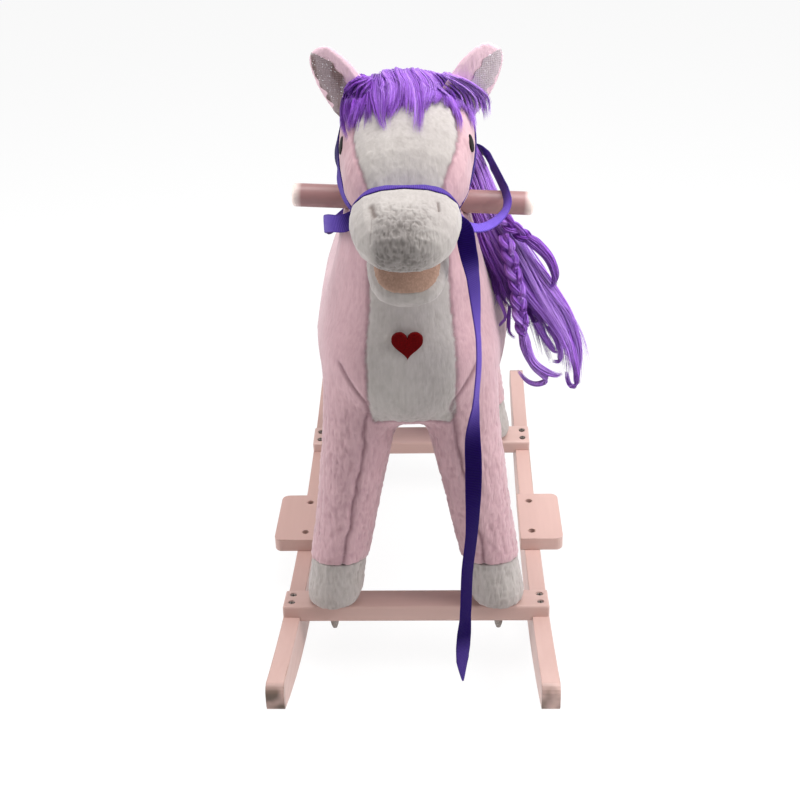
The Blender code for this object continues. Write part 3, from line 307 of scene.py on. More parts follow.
def ring_faces(rings, sides):
    """Corner numbers of the quads between rings of points that follow one another."""
    row, column = np.meshgrid(np.arange(rings - 1), np.arange(sides), indexing="ij")
    low, high, following = row * sides, (row + 1) * sides, (column + 1) % sides
    quads = np.stack((low + column, low + following, high + following, high + column), axis=-1)
    return quads.reshape(-1, 4)


def closed_faces(rings, sides):
    """The quads between rings, and one face over each end ring."""
    turn = np.arange(sides)[None]
    return [ring_faces(rings, sides), turn[:, ::-1], (rings - 1) * sides + turn]


def fan(centre, start, sides):
    """Triangles from one point to a ring."""
    turn = np.arange(sides)
    return np.stack((np.full(sides, centre), start + turn, start + (turn + 1) % sides), axis=1)


def crowned_faces(rings, sides):
    """The quads between rings, a fan from the last ring to one more point, and a face over the
    first ring."""
    count = rings * sides
    return [ring_faces(rings, sides), fan(count, count - sides, sides), np.arange(sides)[None]]


def make_mesh(name, points, faces, smooth=True):
    """A mesh from an array of points and a list of arrays of corners."""
    corners = np.concatenate([group.ravel() for group in faces]).astype(np.int32)
    sizes = np.concatenate([np.full(len(group), group.shape[1]) for group in faces])
    starts = np.concatenate(([0], np.cumsum(sizes)[:-1])).astype(np.int32)
    data = bpy.data.meshes.new(name)
    data.vertices.add(len(points))
    data.vertices.foreach_set("co", np.asarray(points, np.float32).ravel())
    data.loops.add(len(corners))
    data.loops.foreach_set("vertex_index", corners)
    data.polygons.add(len(sizes))
    data.polygons.foreach_set("loop_start", starts)
    data.update(calc_edges=True)
    data.validate()
    data.polygons.foreach_set("use_smooth", np.full(len(data.polygons), smooth))
    return data


def closed_mesh(name, points, faces, smooth=True):
    """A mesh whose faces are all turned outwards."""
    data = make_mesh(name, points.reshape(-1, 3), faces, smooth)
    mesh = bmesh.new()
    mesh.from_mesh(data)
    bmesh.ops.recalc_face_normals(mesh, faces=mesh.faces)
    mesh.to_mesh(data)
    mesh.free()
    return data


def paint(data, name, values):
    """A number on each point, which the materials read by its name."""
    layer = data.attributes.new(name, "FLOAT", "POINT")
    layer.data.foreach_set("value", np.asarray(values, np.float32).ravel())


def lay_uv(data, u, v):
    """Texture places given on each point, carried to the corners."""
    layer = data.uv_layers.new(name="cloth")
    values = np.stack((u, v), axis=1).astype(np.float32)
    layer.data.foreach_set("uv", values[corners_of(data)].ravel())


def add_piece(data, finish, stands_for=(), body="toy"):
    """The object of a mesh, with its finish, its body and the nodes that it stands for."""
    piece = linked(data.name, data)
    data.materials.append(MATERIALS[finish])
    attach(piece, body)
    if stands_for:
        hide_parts(*stands_for)
    return piece


def unit(vectors):
    """Each vector over its length."""
    return vectors / np.maximum(np.linalg.norm(vectors, axis=-1, keepdims=True), 1e-12)


def strides(line):
    """Distances between the points of a line."""
    return np.linalg.norm(np.diff(line, axis=0), axis=1)


def length_of(line):
    """The sum of a line's strides."""
    return float(strides(line).sum())


def distance_along(line):
    """How far along its line each point lies."""
    return np.concatenate(([0], np.cumsum(strides(line))))


def spread_evenly(line, count):
    """The same line with its points at equal distances, measured on the first three numbers."""
    gone = distance_along(line[:, :3])
    at = np.linspace(0, gone[-1], count)
    return np.stack([np.interp(at, gone, line[:, k]) for k in range(line.shape[1])], axis=1)


def smooth_line(points, count):
    """Points evenly spaced on a smooth curve through rows of numbers, each span a cubic blend of
    the two rows at its ends and the two beyond them."""
    rows = np.asarray(points, float)
    padded = np.vstack((2 * rows[0] - rows[1], rows, 2 * rows[-1] - rows[-2]))
    steps = np.linspace(0, 1, 24, endpoint=False)[None, :, None]
    a, b, c, d = (padded[i : i + len(rows) - 1, None, :] for i in range(4))
    curve = 0.5 * (
        2 * b
        + (c - a) * steps
        + (2 * a - 5 * b + 4 * c - d) * steps**2
        + (3 * b - a - 3 * c + d) * steps**3
    )
    return spread_evenly(np.vstack((curve.reshape(-1, rows.shape[1]), rows[-1])), count)


def softened(rows, rounds):
    """Rows of numbers averaged with their neighbours, the two ends kept."""
    for _ in range(rounds):
        rows[1:-1] = rows[1:-1] * 0.5 + (rows[:-2] + rows[2:]) * 0.25
    return rows


def clumpy(points, cell, seed):
    """Smooth noise: random values on a cubic lattice, blended by eased weights of the eight
    corners."""
    table = np.random.default_rng(seed).random((LATTICE, LATTICE, LATTICE))
    place = points / cell
    base = np.floor(place).astype(int)
    part = place - base
    part = part * part * (3 - 2 * part)
    total = np.zeros(len(points))
    for corner in itertools.product((0, 1), repeat=3):
        at = (base + corner) % LATTICE
        weight = np.prod(np.where(corner, part, 1 - part), axis=1)
        total += table[at[:, 0], at[:, 1], at[:, 2]] * weight
    return total


def surface_of(*names):
    """A search tree over some pieces as they show."""
    points, faces = [], []
    for name in names:
        data = bpy.data.objects[name].data
        start = len(points)
        points.extend(points_of(data).tolist())
        faces.extend(tuple(start + corner for corner in face.vertices) for face in data.polygons)
    return BVHTree.FromPolygons(points, faces)


def clear_of(tree, line, margin):
    """Points that lie inside a surface, or nearer to it than a margin, brought out to it."""
    freed = []
    for point in line:
        place, facing, _, _ = tree.find_nearest(Vector(point))
        short = (Vector(point) - place).dot(facing) < margin
        freed.append(tuple(place + facing * margin) if short else tuple(point))
    return np.array(freed)


# Plush skins, laid over the frame's soft solids

def skin_over(nodes, grain):
    """One closed skin over some solids, as points and quads, from a cubic grid of a given grain."""
    solid = bmesh.new()
    for node in nodes:
        solid.from_mesh(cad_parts[node].data)
    bmesh.ops.remove_doubles(solid, verts=solid.verts, dist=1e-6)
    data = bpy.data.meshes.new("solid")
    solid.to_mesh(data)
    solid.free()
    holder = linked("solid", data)
    remesh = holder.modifiers.new("skin", "REMESH")
    remesh.mode = "VOXEL"
    remesh.voxel_size = grain
    skin = holder.evaluated_get(bpy.context.evaluated_depsgraph_get()).to_mesh()
    points, corners = points_of(skin), corners_of(skin)
    bpy.data.objects.remove(holder)
    bpy.data.meshes.remove(data)
    return points, corners.reshape(-1, 4)


def edges_of(faces):
    """Each side of the quads once, as a pair of point numbers."""
    pairs = np.concatenate([faces[:, [i, (i + 1) % 4]] for i in range(4)])
    return np.unique(np.sort(pairs, axis=1), axis=0)


def evened(points, edges, shares):
    """Each point moved by a share of the way to the mean of its neighbours, once for each share."""
    count = len(points)
    a, b = edges.T
    degree = np.bincount(edges.ravel(), minlength=count)[:, None]
    for share in shares:
        total = np.stack([np.bincount(a, points[b, k], count) + np.bincount(b, points[a, k], count)
                          for k in range(3)], axis=1)
        points = points + share * (total / degree - points)
    return points


def relaxed(points, edges, rounds):
    """Smoothed in pairs of moves, half of the way in and a little more out, so that the small
    steps go and the volume stays."""
    return evened(points, edges, (0.5, -0.52) * rounds)


def settled(points, edges, rounds, weight):
    """Plain averaging where weight says so, which fills a ledge with a soft slope."""
    return evened(points, edges, [weight[:, None] * 0.5] * rounds)


def outward(points, faces):
    """Unit normals at the points, from the areas of the quads round them."""
    a, b, c, d = (points[faces[:, i]] for i in range(4))
    across = np.cross(c - a, d - b)
    total = np.zeros_like(points)
    for i in range(4):
        for k in range(3):
            total[:, k] += np.bincount(faces[:, i], across[:, k], len(points))
    return unit(total)


def pile_height(points, along, seed, clump):
    """Height of the pile from 0 to 1: ridges drawn out along the nap, over broad soft clumps.
    A ridge stands where noise that is drawn out along the nap passes its middle."""
    run = (points * along).sum(axis=-1, keepdims=True)

    def ridges(cell, stretch, start):
        drawn = points - along * run * (1 - 1 / stretch)
        return 1 - np.abs(2 * clumpy(drawn, cell, start) - 1)

    broad = clumpy(points, clump * 3.5, seed + 2)
    return (0.55 * ridges(clump, 2.6, seed) ** 1.5
            + 0.25 * ridges(clump * 0.6, 2.2, seed + 1) ** 1.3 + 0.20 * broad)


def groove(distance, wide=SEAM_WIDE):
    """One on a line, falling off as a bell curve beside it."""
    return np.exp(-((distance / wide) ** 2))


def plush(name, nodes, grain, nap, seed, finish, body="toy", pile=PILE, clump=CLUMP, rounds=3,
          shape=None, seams=None, cream=None, coarse=None, dusk=None, stands_for=None):
    """A stuffed piece: a skin over its solids, smoothed, drawn in at its seams, and raised by its
    pile.

    seams gives each point's distance to a seam, cream how far it lies inside a cream panel,
    coarse the share of the full pile that stands there, and dusk how far it lies in deep shade."""
    points, faces = skin_over(nodes, grain)
    edges = edges_of(faces)
    points = relaxed(points, edges, rounds)
    if shape:
        points = shape(points, edges)
    normals = outward(points, faces)
    height = pile_height(points, unit(np.asarray(nap, float)), seed, clump)
    none = np.zeros(len(points))
    panel = seam = none
    stand = coarse(points) if coarse else none + 1
    ragged = (clumpy(points, PANEL_RAGGED_CLUMP, seed + 5) - 0.5) * PANEL_RAGGED
    if cream:
        inside = cream(points) + ragged
        panel = np.clip(inside / PANEL_BLEND + 0.5, 0, 1)
        seam = PANEL_SEAM_DARK * groove(inside, PANEL_SEAM_WIDE)
    if seams:
        seam = np.maximum(seam, groove(seams(points) + 0.6 * np.abs(ragged)))
    rise = pile * stand * (height - PILE_MIDDLE) * (1 - 0.6 * seam) - SEAM_DEEP * seam
    data = make_mesh(name, points + normals * rise[:, None], [faces])
    paint(data, "cream", panel)
    paint(data, "seam", seam)
    paint(data, "pile", 0.5 + (height - 0.5) * (0.35 + 0.65 * stand))
    paint(data, "coarse", stand)
    paint(data, "dusk", dusk(points) if dusk else none)
    add_piece(data, finish, stands_for or nodes, body)


def in_head(points):
    """Places in the head frame: along the axis, sideways, and up."""
    from_back = points - HEAD_BACK
    return from_back @ HEAD_AXIS, from_back[:, 0], from_back @ HEAD_UP


def from_axis(side, up):
    """Directions that point away from the head's axis."""
    return unit(SIDEWAYS * side[:, None] + HEAD_UP * up[:, None])


def blaze_edge(points):
    """Distance inside the cream blaze: its half width narrows towards the muzzle."""
    along, side, up = in_head(points)
    half = np.interp(along, (0.050, 0.080, 0.110, 0.125, 0.142, 0.153, 0.165, 0.178),
                     (0.012, 0.036, 0.0445, 0.0455, 0.0430, 0.0396, 0.0350, 0.0300))
    return np.min((half - np.abs(side), up - 0.004, along - 0.040), axis=0)


def bib_edge(points):
    """Distance inside the cream bib on the chest, whose lower corners are rounded."""
    x, y, z = points.T
    half = np.interp(z, (0.318, 0.322, 0.330, 0.345, 0.400, 0.450, 0.520, 0.560),
                     (0.0335, 0.0380, 0.0415, 0.0432, 0.0435, 0.0385, 0.0360, 0.0340))
    return np.min((half - np.abs(x - 0.003), z - 0.3205, -y - 0.130), axis=0)


def crease_edge(points):
    """Distance to the crease that runs from the shoulder in to the bib's lower corner and from
    there down the front of each leg to the hoof; none at the back."""
    x, y, z = points.T
    leg = np.interp(z, (0.138, 0.1605, 0.1865, 0.230, 0.2657, 0.300, LEG_TOP),
                    (0.0765, 0.0724, 0.0679, 0.0597, 0.0520, 0.0466, 0.0405))
    leg = leg + 0.0036 * (clumpy(points, 0.014, 3) - 0.5)
    shoulder = np.interp(z, (LEG_TOP, 0.348, 0.366, 0.385, 0.400),
                         (0.0405, 0.0425, 0.0545, 0.0660, 0.0740))
    seam = np.where(z < LEG_TOP, leg, shoulder)
    slope = np.where(z < LEG_TOP, 0.98, 0.80)
    away = np.abs(np.abs(x) - seam) * slope
    beyond = np.maximum(np.maximum(z - 0.386, 0), np.maximum(y + 0.165, 0) * 2)
    return np.hypot(away, beyond)


def body_seams(points):
    """Distance to the creases in front, to the seams of the hind legs, and to the one along the
    back and down the rump."""
    x, y, z = points.T
    leg = np.interp(z, (0.138, 0.340), (0.0865, 0.0520))
    hind = np.where(z < 0.330, np.abs(np.abs(x) - leg) + np.maximum(0.190 - y, 0) * 2, 1.0)
    ridge = np.abs(x) + np.maximum(0.010 - y, 0) * 2 + np.maximum(0.36 - z, 0) * 2
    return np.min((crease_edge(points), hind, ridge), axis=0)


def nostril_edge(points):
    """Distance to the creases at the nostrils, short slanting lines on top of the muzzle."""
    along, side, _ = in_head(points)
    place = np.stack((along, side), axis=1)
    distances = []
    for start, end, fade, faint in NOSTRIL_CREASES:
        start, run = np.array(start), np.array(end) - np.array(start)
        share = np.clip((place - start) @ run / (run @ run), 0, 1)
        away = np.linalg.norm(place - start - share[:, None] * run, axis=1)
        distances.append(away * fade + faint)
    return np.min(distances, axis=0)


def bump_at(value, middle, reach, steep):
    """One near a middle, falling in a straight line to nothing at its reach."""
    return np.clip(steep * (1 - np.abs(value - middle) / reach), 0, 1)


def shape_body(points, edges):
    """Stuffing fills the ledges: the neck runs into the shoulders, and each leg into the trunk,
    where the skin is averaged until it slopes. The arch between the legs is filled less."""
    x, y, z = points.T
    points = settled(points, edges, 70, bump_at(z, 0.430, 0.055, 1.6))
    low, near = bump_at(z, 0.345, 0.085, 1.8), bump_at(np.abs(y), 0.174, 0.095, 1.8)
    arch = 1 - 0.92 * np.exp(-(((x - 0.004) / 0.024) ** 2))
    return seam_lift(settled(points, edges, 150, low * near * arch))


def seam_lift(points):
    """The front of each fore hoof reaches a little higher up its leg than the back."""
    low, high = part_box("hoof_front_left")
    x, y, z = points.T
    near = np.exp(-(((z - high.z) / 0.022) ** 2))
    front = np.clip((high.y - y) / (high.y - low.y), 0, 1)
    return np.stack((x, y, z + 0.0085 * near * front**1.5), axis=1)


def shape_hoof(points, node):
    """A hoof as full below as above: each level is scaled out from the middle to the widest
    radius, and only the rim is round."""
    low, high = (np.array(corner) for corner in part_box(node))
    share = (points[:, 2] - low[2]) / (high[2] - low[2])
    hoof = share < 1
    level = np.clip((share * HOOF_LEVELS).astype(int), 0, HOOF_LEVELS - 1)
    least, most = np.full((HOOF_LEVELS, 2), 9.0), np.full((HOOF_LEVELS, 2), -9.0)
    np.minimum.at(least, level[hoof], points[hoof, :2])
    np.maximum.at(most, level[hoof], points[hoof, :2])
    least[0], most[0] = least[1], most[1]
    rows = (np.arange(HOOF_LEVELS) + 0.5) / HOOF_LEVELS
    centre = np.stack([np.interp(share, rows, (least + most)[:, k] / 2) for k in (0, 1)], axis=1)
    out = points[:, :2] - centre
    widest = np.zeros(HOOF_LEVELS)
    np.maximum.at(widest, level, np.where(hoof, np.linalg.norm(out, axis=1), 0))
    full = widest[10:24].max()
    now = np.interp(share, rows, np.maximum(widest, 0.3 * full))
    wanted = full * np.interp(share, (0, 0.05, 0.14, 0.30, 0.55, 0.8),
                              (0.78, 0.90, 0.98, 1.02, 1.02, 0.97))
    scale = np.where(hoof, np.clip(wanted / now, 1, 1.5), 1)[:, None]
    return seam_lift(np.hstack((centre + out * scale, points[:, 2:])))


def shape_head(points, edges):
    """The sockets are filled, the cheeks are full where the strap spans them, and the brow dips
    to the crease behind the muzzle."""
    for side in SIDES:
        away = np.linalg.norm(points - node_points(f"eye_{side}").mean(axis=0), axis=1)
        points = settled(points, edges, 60, np.clip(2 - away / 0.013, 0, 1))
    along, side, up = in_head(points)
    turn = np.abs(np.arctan2(side, up))
    dip = 0.0075 * (1 - 0.6 * np.clip(turn / 1.5, 0, 1))
    dip = dip * np.clip((along - 0.150) / 0.025, 0, 1) ** 1.4
    cheek = 0.0048 * np.exp(-(((along - 0.158) / 0.020) ** 2)) * bump_at(turn, 1.65, 0.75, 1)
    return relaxed(points + from_axis(side, up) * (cheek - dip)[:, None], edges, 2)


def shape_muzzle(points, _):
    """The root is drawn in under the noseband."""
    along, side, up = in_head(points)
    tuck = 0.0085 * np.clip((0.1895 - along) / 0.014, 0, 1)
    return points - from_axis(side, up) * tuck[:, None]


def leg_pile(points):
    """Long pile on the legs, short on the trunk."""
    return np.interp(points[:, 2], (0.0, 0.30, 0.37), (1.0, 1.0, SHORT_PILE))


def short_pile(points):
    """Short pile all over."""
    return np.full(len(points), SHORT_PILE)


def muzzle_middle(points, start, run, edge, full, fade):
    """Two shares of the muzzle: its front, which rises from start over a run, and its middle,
    which begins at the crease below the right nostril and fades towards the animal's left."""
    along, side, _ = in_head(points)
    front = np.clip((along - start) / run, 0, 1)
    return front, np.clip((side + 0.0275) / edge, 0, 1) * np.clip(full - side / fade, 0, 1)


def muzzle_pile(points):
    """Long pile in the middle of the muzzle's front, short at its sides."""
    front, middle = muzzle_middle(points, 0.200, 0.012, 0.006, 1.5, 0.024)
    return 0.10 + 0.90 * front * middle


def muzzle_painted_shade(points):
    """Where painted shade lies on the muzzle: low in the middle of its front, towards the animal's
    right.
    """
    front, middle = muzzle_middle(points, 0.206, 0.022, 0.005, 1.15, 0.026)
    return front * middle


def make_plush():
    """The plush of every stuffed piece, coarser where the piece is large."""
    ends = [f"{end}_{side}" for end in ("front", "rear") for side in SIDES]
    cover = ["torso", "neck"] + [f"leg_{end}" for end in ends]
    timber = ["spine_board", "neck_post"] + [f"leg_post_{end}" for end in ends]
    plush("body_plush", cover + timber, 0.0022, (0, 0.25, -1), 11, "plush", rounds=4,
          shape=shape_body, seams=body_seams, cream=bib_edge, coarse=leg_pile, stands_for=cover)
    plush("head_plush", ["head", "eye_left", "eye_right"], 0.0014, (0, -0.4, -1), 21, "plush",
          shape=shape_head, cream=blaze_edge, coarse=short_pile, stands_for=["head"])
    plush("muzzle_plush", ["muzzle"], 0.0010, (0, -0.2, -1), 31, "cream_plush", pile=0.0014,
          clump=0.0023, rounds=4, shape=shape_muzzle, seams=nostril_edge, coarse=muzzle_pile,
          dusk=muzzle_painted_shade)
    plush("lower_jaw_plush", ["lower_jaw"], 0.0010, (0, -0.4, -1), 41, "cream_plush",
          body="jaw", coarse=short_pile)
    for seed, end in enumerate(ends, 61):
        hoof = f"hoof_{end}"
        plush(f"{hoof}_plush", [hoof, f"leg_post_{end}"], 0.0014, (0, 0.15, -1), seed,
              "cream_plush", pile=0.0014, stands_for=[hoof],
              shape=lambda points, _, hoof=hoof: shape_hoof(points, hoof))
    for side in SIDES:
        # The ears get the paler copy of the pink plush, painted light.
        plush(f"ear_{side}_plush", [f"ear_{side}"], 0.0009, (0, 0, 1), 71, "lit_ear_plush",
              rounds=2, coarse=short_pile)


def make_mouth():
    """The lining that shows in the open mouth and turns with the jaw."""
    plush("mouth_lining_cloth", ["mouth_lining"], 0.0009, (0, -1, -0.4), 81, "mouth",
          body="jaw", pile=0.0003)


# Shader trees, groups and materials

class Wiring:
    """A shader tree being wired: each method adds nodes and gives what they put out. A number or
    colour is set on its socket, and another node's output is linked to it."""

    def __init__(self, tree):
        self.tree = tree

    def put(self, socket, value):
        """A value set on a socket or linked to it."""
        if isinstance(value, bpy.types.NodeSocket):
            self.tree.links.new(value, socket)
        elif socket.type == "RGBA":
            socket.default_value = (*value, 1.0)
        else:
            socket.default_value = value

    def node(self, kind, inputs=None, **settings):
        """One node with its settings and inputs."""
        node = self.tree.nodes.new(f"ShaderNode{kind}")
        for name, setting in settings.items():
            setattr(node, name, setting)
        for label, value in (inputs or {}).items():
            self.put(node.inputs[label], value)
        return node

    def maths(self, operation, *values, clamp=False):
        """One sum on numbers or outputs."""
        inputs = dict(enumerate(values))
        return self.node("Math", inputs, operation=operation, use_clamp=clamp).outputs[0]

    def times(self, a, b):
        """The product of two values."""
        return self.maths("MULTIPLY", a, b)

    def weighted(self, a, by_a, b, by_b):
        """The sum of two values, each times its weight."""
        return self.maths("ADD", self.times(a, by_a), self.times(b, by_b))

    def noise(self, vector, scale, detail=2.0, roughness=0.5, distortion=0.0):
        """Fractal noise from 0 to 1."""
        return self.node("TexNoise", {
            "Vector": vector, "Scale": scale, "Detail": detail, "Roughness": roughness,
            "Distortion": distortion}).outputs["Fac"]

    def stretched(self, vector, scale):
        """Places scaled by axis, which draws a pattern out where the scale is small."""
        return self.node("Mapping", {"Vector": vector, "Scale": scale}).outputs[0]

    def split(self, vector):
        """The three parts of a vector."""
        return self.node("SeparateXYZ", {0: vector}).outputs

    def blend(self, share, first, second, kind="MIX"):
        """A colour mix by a share: sockets 6 and 7 are its two colours, and output 2 its own."""
        return self.node("Mix", {"Factor": share, 6: first, 7: second},
                         data_type="RGBA", blend_type=kind).outputs[2]

    def eased(self, value, low, high, to_low=0.0, to_high=1.0):
        """A value mapped from one range to another with soft ends."""
        return self.node("MapRange", {
            "Value": value, "From Min": low, "From Max": high, "To Min": to_low,
            "To Max": to_high}, interpolation_type="SMOOTHSTEP").outputs[0]

    def seen_rays(self):
        """One where the camera sees a thing itself, or sees it in a gloss or through glass."""
        rays = self.node("LightPath").outputs
        seen = rays["Is Camera Ray"]
        for label in ("Is Glossy Ray", "Is Transmission Ray"):
            seen = self.maths("MAXIMUM", seen, rays[label])
        return seen


class Group(Wiring):
    """A shader group being wired, which takes a vector and named numbers."""

    def __init__(self, name, outputs, **numbers):
        super().__init__(bpy.data.node_groups.new(name, "ShaderNodeTree"))
        face = self.tree.interface
        face.new_socket("Vector", in_out="INPUT", socket_type="NodeSocketVector")
        for label, value in numbers.items():
            socket = face.new_socket(label, in_out="INPUT", socket_type="NodeSocketFloat")
            socket.default_value = value
        for label in outputs:
            face.new_socket(label, in_out="OUTPUT", socket_type="NodeSocketFloat")
        self.given = self.tree.nodes.new("NodeGroupInput").outputs
        self.out = self.tree.nodes.new("NodeGroupOutput").inputs

    def give(self, **values):
        """Feeds the group's outputs and closes it."""
        for label, value in values.items():
            self.put(self.out[label], value)
        return self.tree


class Finish(Wiring):
    """A material being built round its Principled shader, with the groups placed in it."""

    def __init__(self, name, colour, roughness, metallic=0.0):
        self.material = bpy.data.materials.new(name)
        self.material.use_nodes = True
        super().__init__(self.material.node_tree)
        self.shader = self.tree.nodes["Principled BSDF"]
        self.feed({"Base Color": colour, "Roughness": roughness, "Metallic": metallic})
        self.material.diffuse_color = (*colour, 1.0)

    def feed(self, values):
        """Sets or links the shader's own sockets."""
        for label, value in values.items():
            self.put(self.shader.inputs[label], value)

    def coordinates(self, kind="Object"):
        """Places on the surface."""
        return self.node("TexCoord").outputs[kind]

    def attribute(self, name):
        """A number that the piece's points carry."""
        return self.node("Attribute", attribute_name=name).outputs["Fac"]

    def place(self, group, vector, **values):
        """One of the groups, placed with its own values."""
        node = self.node("Group", node_tree=GROUPS[group])
        for label, value in {"Vector": vector, **values}.items():
            self.put(node.inputs[label], value)
        return node.outputs

    def bump(self, height, distance, strength=1.0):
        """Relief from a height."""
        self.feed({"Normal": self.node("Bump", {
            "Distance": distance, "Strength": strength, "Height": height}).outputs[0]})

    def sheen(self, weight, roughness, tint):
        """The pale bloom of cloth."""
        self.feed({"Sheen Weight": weight, "Sheen Roughness": roughness, "Sheen Tint": tint})

    def coated(self, colour, **values):
        """The finished material, with its colour and what else the shader is given."""
        self.feed({"Base Color": colour, **values})
        return self.material


def make_pile_group():
    """Short pile: streaks drawn out along Z, locks as soft valleys between them, broad
    patches, and a height."""
    group = Group("pile", ("Height", "Patch", "Fleck", "Lock"), Fineness=420.0)
    vector, fineness = group.given["Vector"], group.given["Fineness"]
    drawn = group.stretched(vector, (1.0, 1.0, 0.26))
    streak = group.noise(drawn, fineness, 3.0, 0.6)
    coarse = group.noise(drawn, group.times(fineness, 0.36))
    valley = group.noise(drawn, group.times(fineness, 0.60), 1.0, 0.4)
    return group.give(Height=group.weighted(streak, 0.45, coarse, 0.55),
                      Patch=group.noise(vector, 26.0),
                      Fleck=group.eased(streak, 0.35, 0.70),
                      Lock=group.eased(valley, 0.30, 0.52, 1.0, 0.0))


def make_grain_group():
    """Painted wood: faint grain along one axis, brush lines, and small chips on the edges, where
    a bevelled normal turns from the plain one and the paint is thin."""
    group = Group("painted_grain", ("Height", "Tone", "Bare"), Wear=0.5)
    vector = group.given["Vector"]
    lines = group.noise(vector, 60.0, 5.0, 0.62, 0.6)
    pores = group.noise(vector, 240.0)
    bevel = group.node("Bevel", {"Radius": 0.0022}, samples=4)
    plain = group.node("NewGeometry")
    turn = group.node("VectorMath", {0: bevel.outputs[0], 1: plain.outputs["Normal"]},
                      operation="DOT_PRODUCT")
    edge = group.maths("SUBTRACT", 1.0, turn.outputs["Value"])
    rub = group.times(edge, group.eased(group.noise(vector, 34.0, 4.0, 0.6), 0.48, 0.66))
    return group.give(Height=group.weighted(lines, 0.6, pores, 0.4),
                      Tone=group.noise(vector, 7.0, 3.0, 0.55),
                      Bare=group.eased(group.times(rub, group.given["Wear"]), 0.02, 0.09))


def make_weave_group():
    """Webbing: ribs across the strap over a fine diagonal twill, from UV in metres, and a mask
    of the selvedge at both edges."""
    group = Group("weave", ("Height", "Shade", "Edge"), Ribs=560.0, Warp=900.0)
    parts = group.split(group.given["Vector"])
    rib = group.times(parts["X"], group.given["Ribs"])
    warp = group.times(parts["Y"], group.given["Warp"])
    ribs, twill = (group.maths("SINE", group.times(phase, 2 * math.pi))
                   for phase in (rib, group.maths("ADD", rib, warp)))
    height = group.weighted(ribs, 0.34, twill, 0.22)
    edge = group.maths("ABSOLUTE", parts["Y"])
    return group.give(Height=group.maths("ADD", height, 0.5),
                      Shade=group.eased(height, -0.5, 0.5),
                      Edge=group.eased(edge, WEBBING_WIDTH * 0.43, WEBBING_WIDTH * 0.47))


def make_fibre_group():
    """Hair fibre: fine streaks along the strand from UV, and a broad change of tone."""
    group = Group("fibre", ("Height", "Tone"), Strands=60.0)
    drawn = group.stretched(group.given["Vector"], (0.05, 1.0, 1.0))
    streak = group.noise(drawn, group.given["Strands"], 3.0, 0.6)
    return group.give(Height=streak, Tone=group.eased(streak, 0.3, 0.7))


def plush_finish(name, light, dark, seam_shade_colour, other=None):
    """Pile over cloth: painted shade where the pile lies low and in the valleys between the locks
    where the pile is long, soft patches, painted shade along each seam and crease and where dusk
    says, and a pale bloom at grazing sight."""
    finish = Finish(name, light, 0.9)
    pile = finish.place("pile", finish.coordinates())
    lie = finish.attribute("pile")
    lock = finish.times(pile["Lock"], finish.attribute("coarse"))
    # Painted shade: darker where the pile lies low and in the valleys of the locks.
    share = finish.weighted(pile["Fleck"], 0.22, finish.eased(lie, 0.15, 0.75), 0.50)
    share = finish.maths("SUBTRACT", finish.maths("ADD", share, 0.30), finish.times(lock, 0.20),
                         clamp=True)
    colour = finish.blend(share, dark, light)
    if other:
        panel = finish.blend(share, other[1], other[0])
        colour = finish.blend(finish.attribute("cream"), colour, panel)
    patch = finish.eased(pile["Patch"], 0.3, 0.7)
    shade = finish.blend(patch, (0.92, 0.91, 0.92), WHITE)
    colour = finish.blend(1.0, colour, shade, "MULTIPLY")
    # Painted shade where the dusk attribute says, deepest where the pile lies low.
    deep = finish.times(finish.attribute("dusk"), finish.eased(lie, 0.2, 0.8, 0.80, 0.46))
    colour = finish.blend(deep, colour, ROOT_SHADE)
    # Painted shade along the seams and creases.
    colour = finish.blend(finish.times(finish.attribute("seam"), 0.70), colour, seam_shade_colour)
    finish.bump(finish.maths("SUBTRACT", finish.times(pile["Height"], 0.6),
                             finish.times(lock, 0.35)), 0.0018, 0.65)
    finish.sheen(0.40, 0.45, (1.0, 0.94, 0.96))
    return finish.coated(colour)


def wood_finish(name, along, shade=1.0):
    """Satin paint over wood, with its grain drawn out along one axis; shade below one darkens the
    paint as painted shade, except at the ends, which are painted pale as painted light."""
    finish = Finish(name, (0.62, 0.42, 0.38), 0.45)
    scale = tuple(0.07 if axis == along else 1.0 for axis in "XYZ")
    grain = finish.place("painted_grain", finish.stretched(finish.coordinates(), scale), Wear=0.7)
    deep, pale, low = (tuple(part * shade for part in tone) for tone in PAINT_TONES)
    colour = finish.blend(finish.eased(grain["Tone"], 0.3, 0.7), deep, pale)
    colour = finish.blend(finish.times(grain["Height"], 0.30), colour, low)
    # Painted shade over the handlebar, and painted light at its ends, where the end attribute says.
    if shade < 1:
        colour = finish.blend(1.0, colour, (1.0, 0.76, 0.82), "MULTIPLY")
        colour = finish.blend(finish.attribute("end"), colour, (0.92, 0.77, 0.71))
    colour = finish.blend(grain["Bare"], colour, (0.30, 0.18, 0.12))
    # Darker brown patches towards the ends of the rockers and footrests.
    if along == "Y":
        reach = finish.maths("ABSOLUTE", finish.split(finish.coordinates())["Y"])
        dark_tip_patches = finish.eased(finish.noise(finish.coordinates(), 40.0), 0.25, 0.60)
        dark_tip_patches = finish.times(finish.eased(reach, 0.334, 0.348), dark_tip_patches)
        colour = finish.blend(dark_tip_patches, colour, (0.10, 0.062, 0.042))
    finish.bump(grain["Height"], 0.0004, 0.6)
    return finish.coated(colour, Roughness=finish.eased(grain["Height"], 0.3, 0.7, 0.38, 0.52))


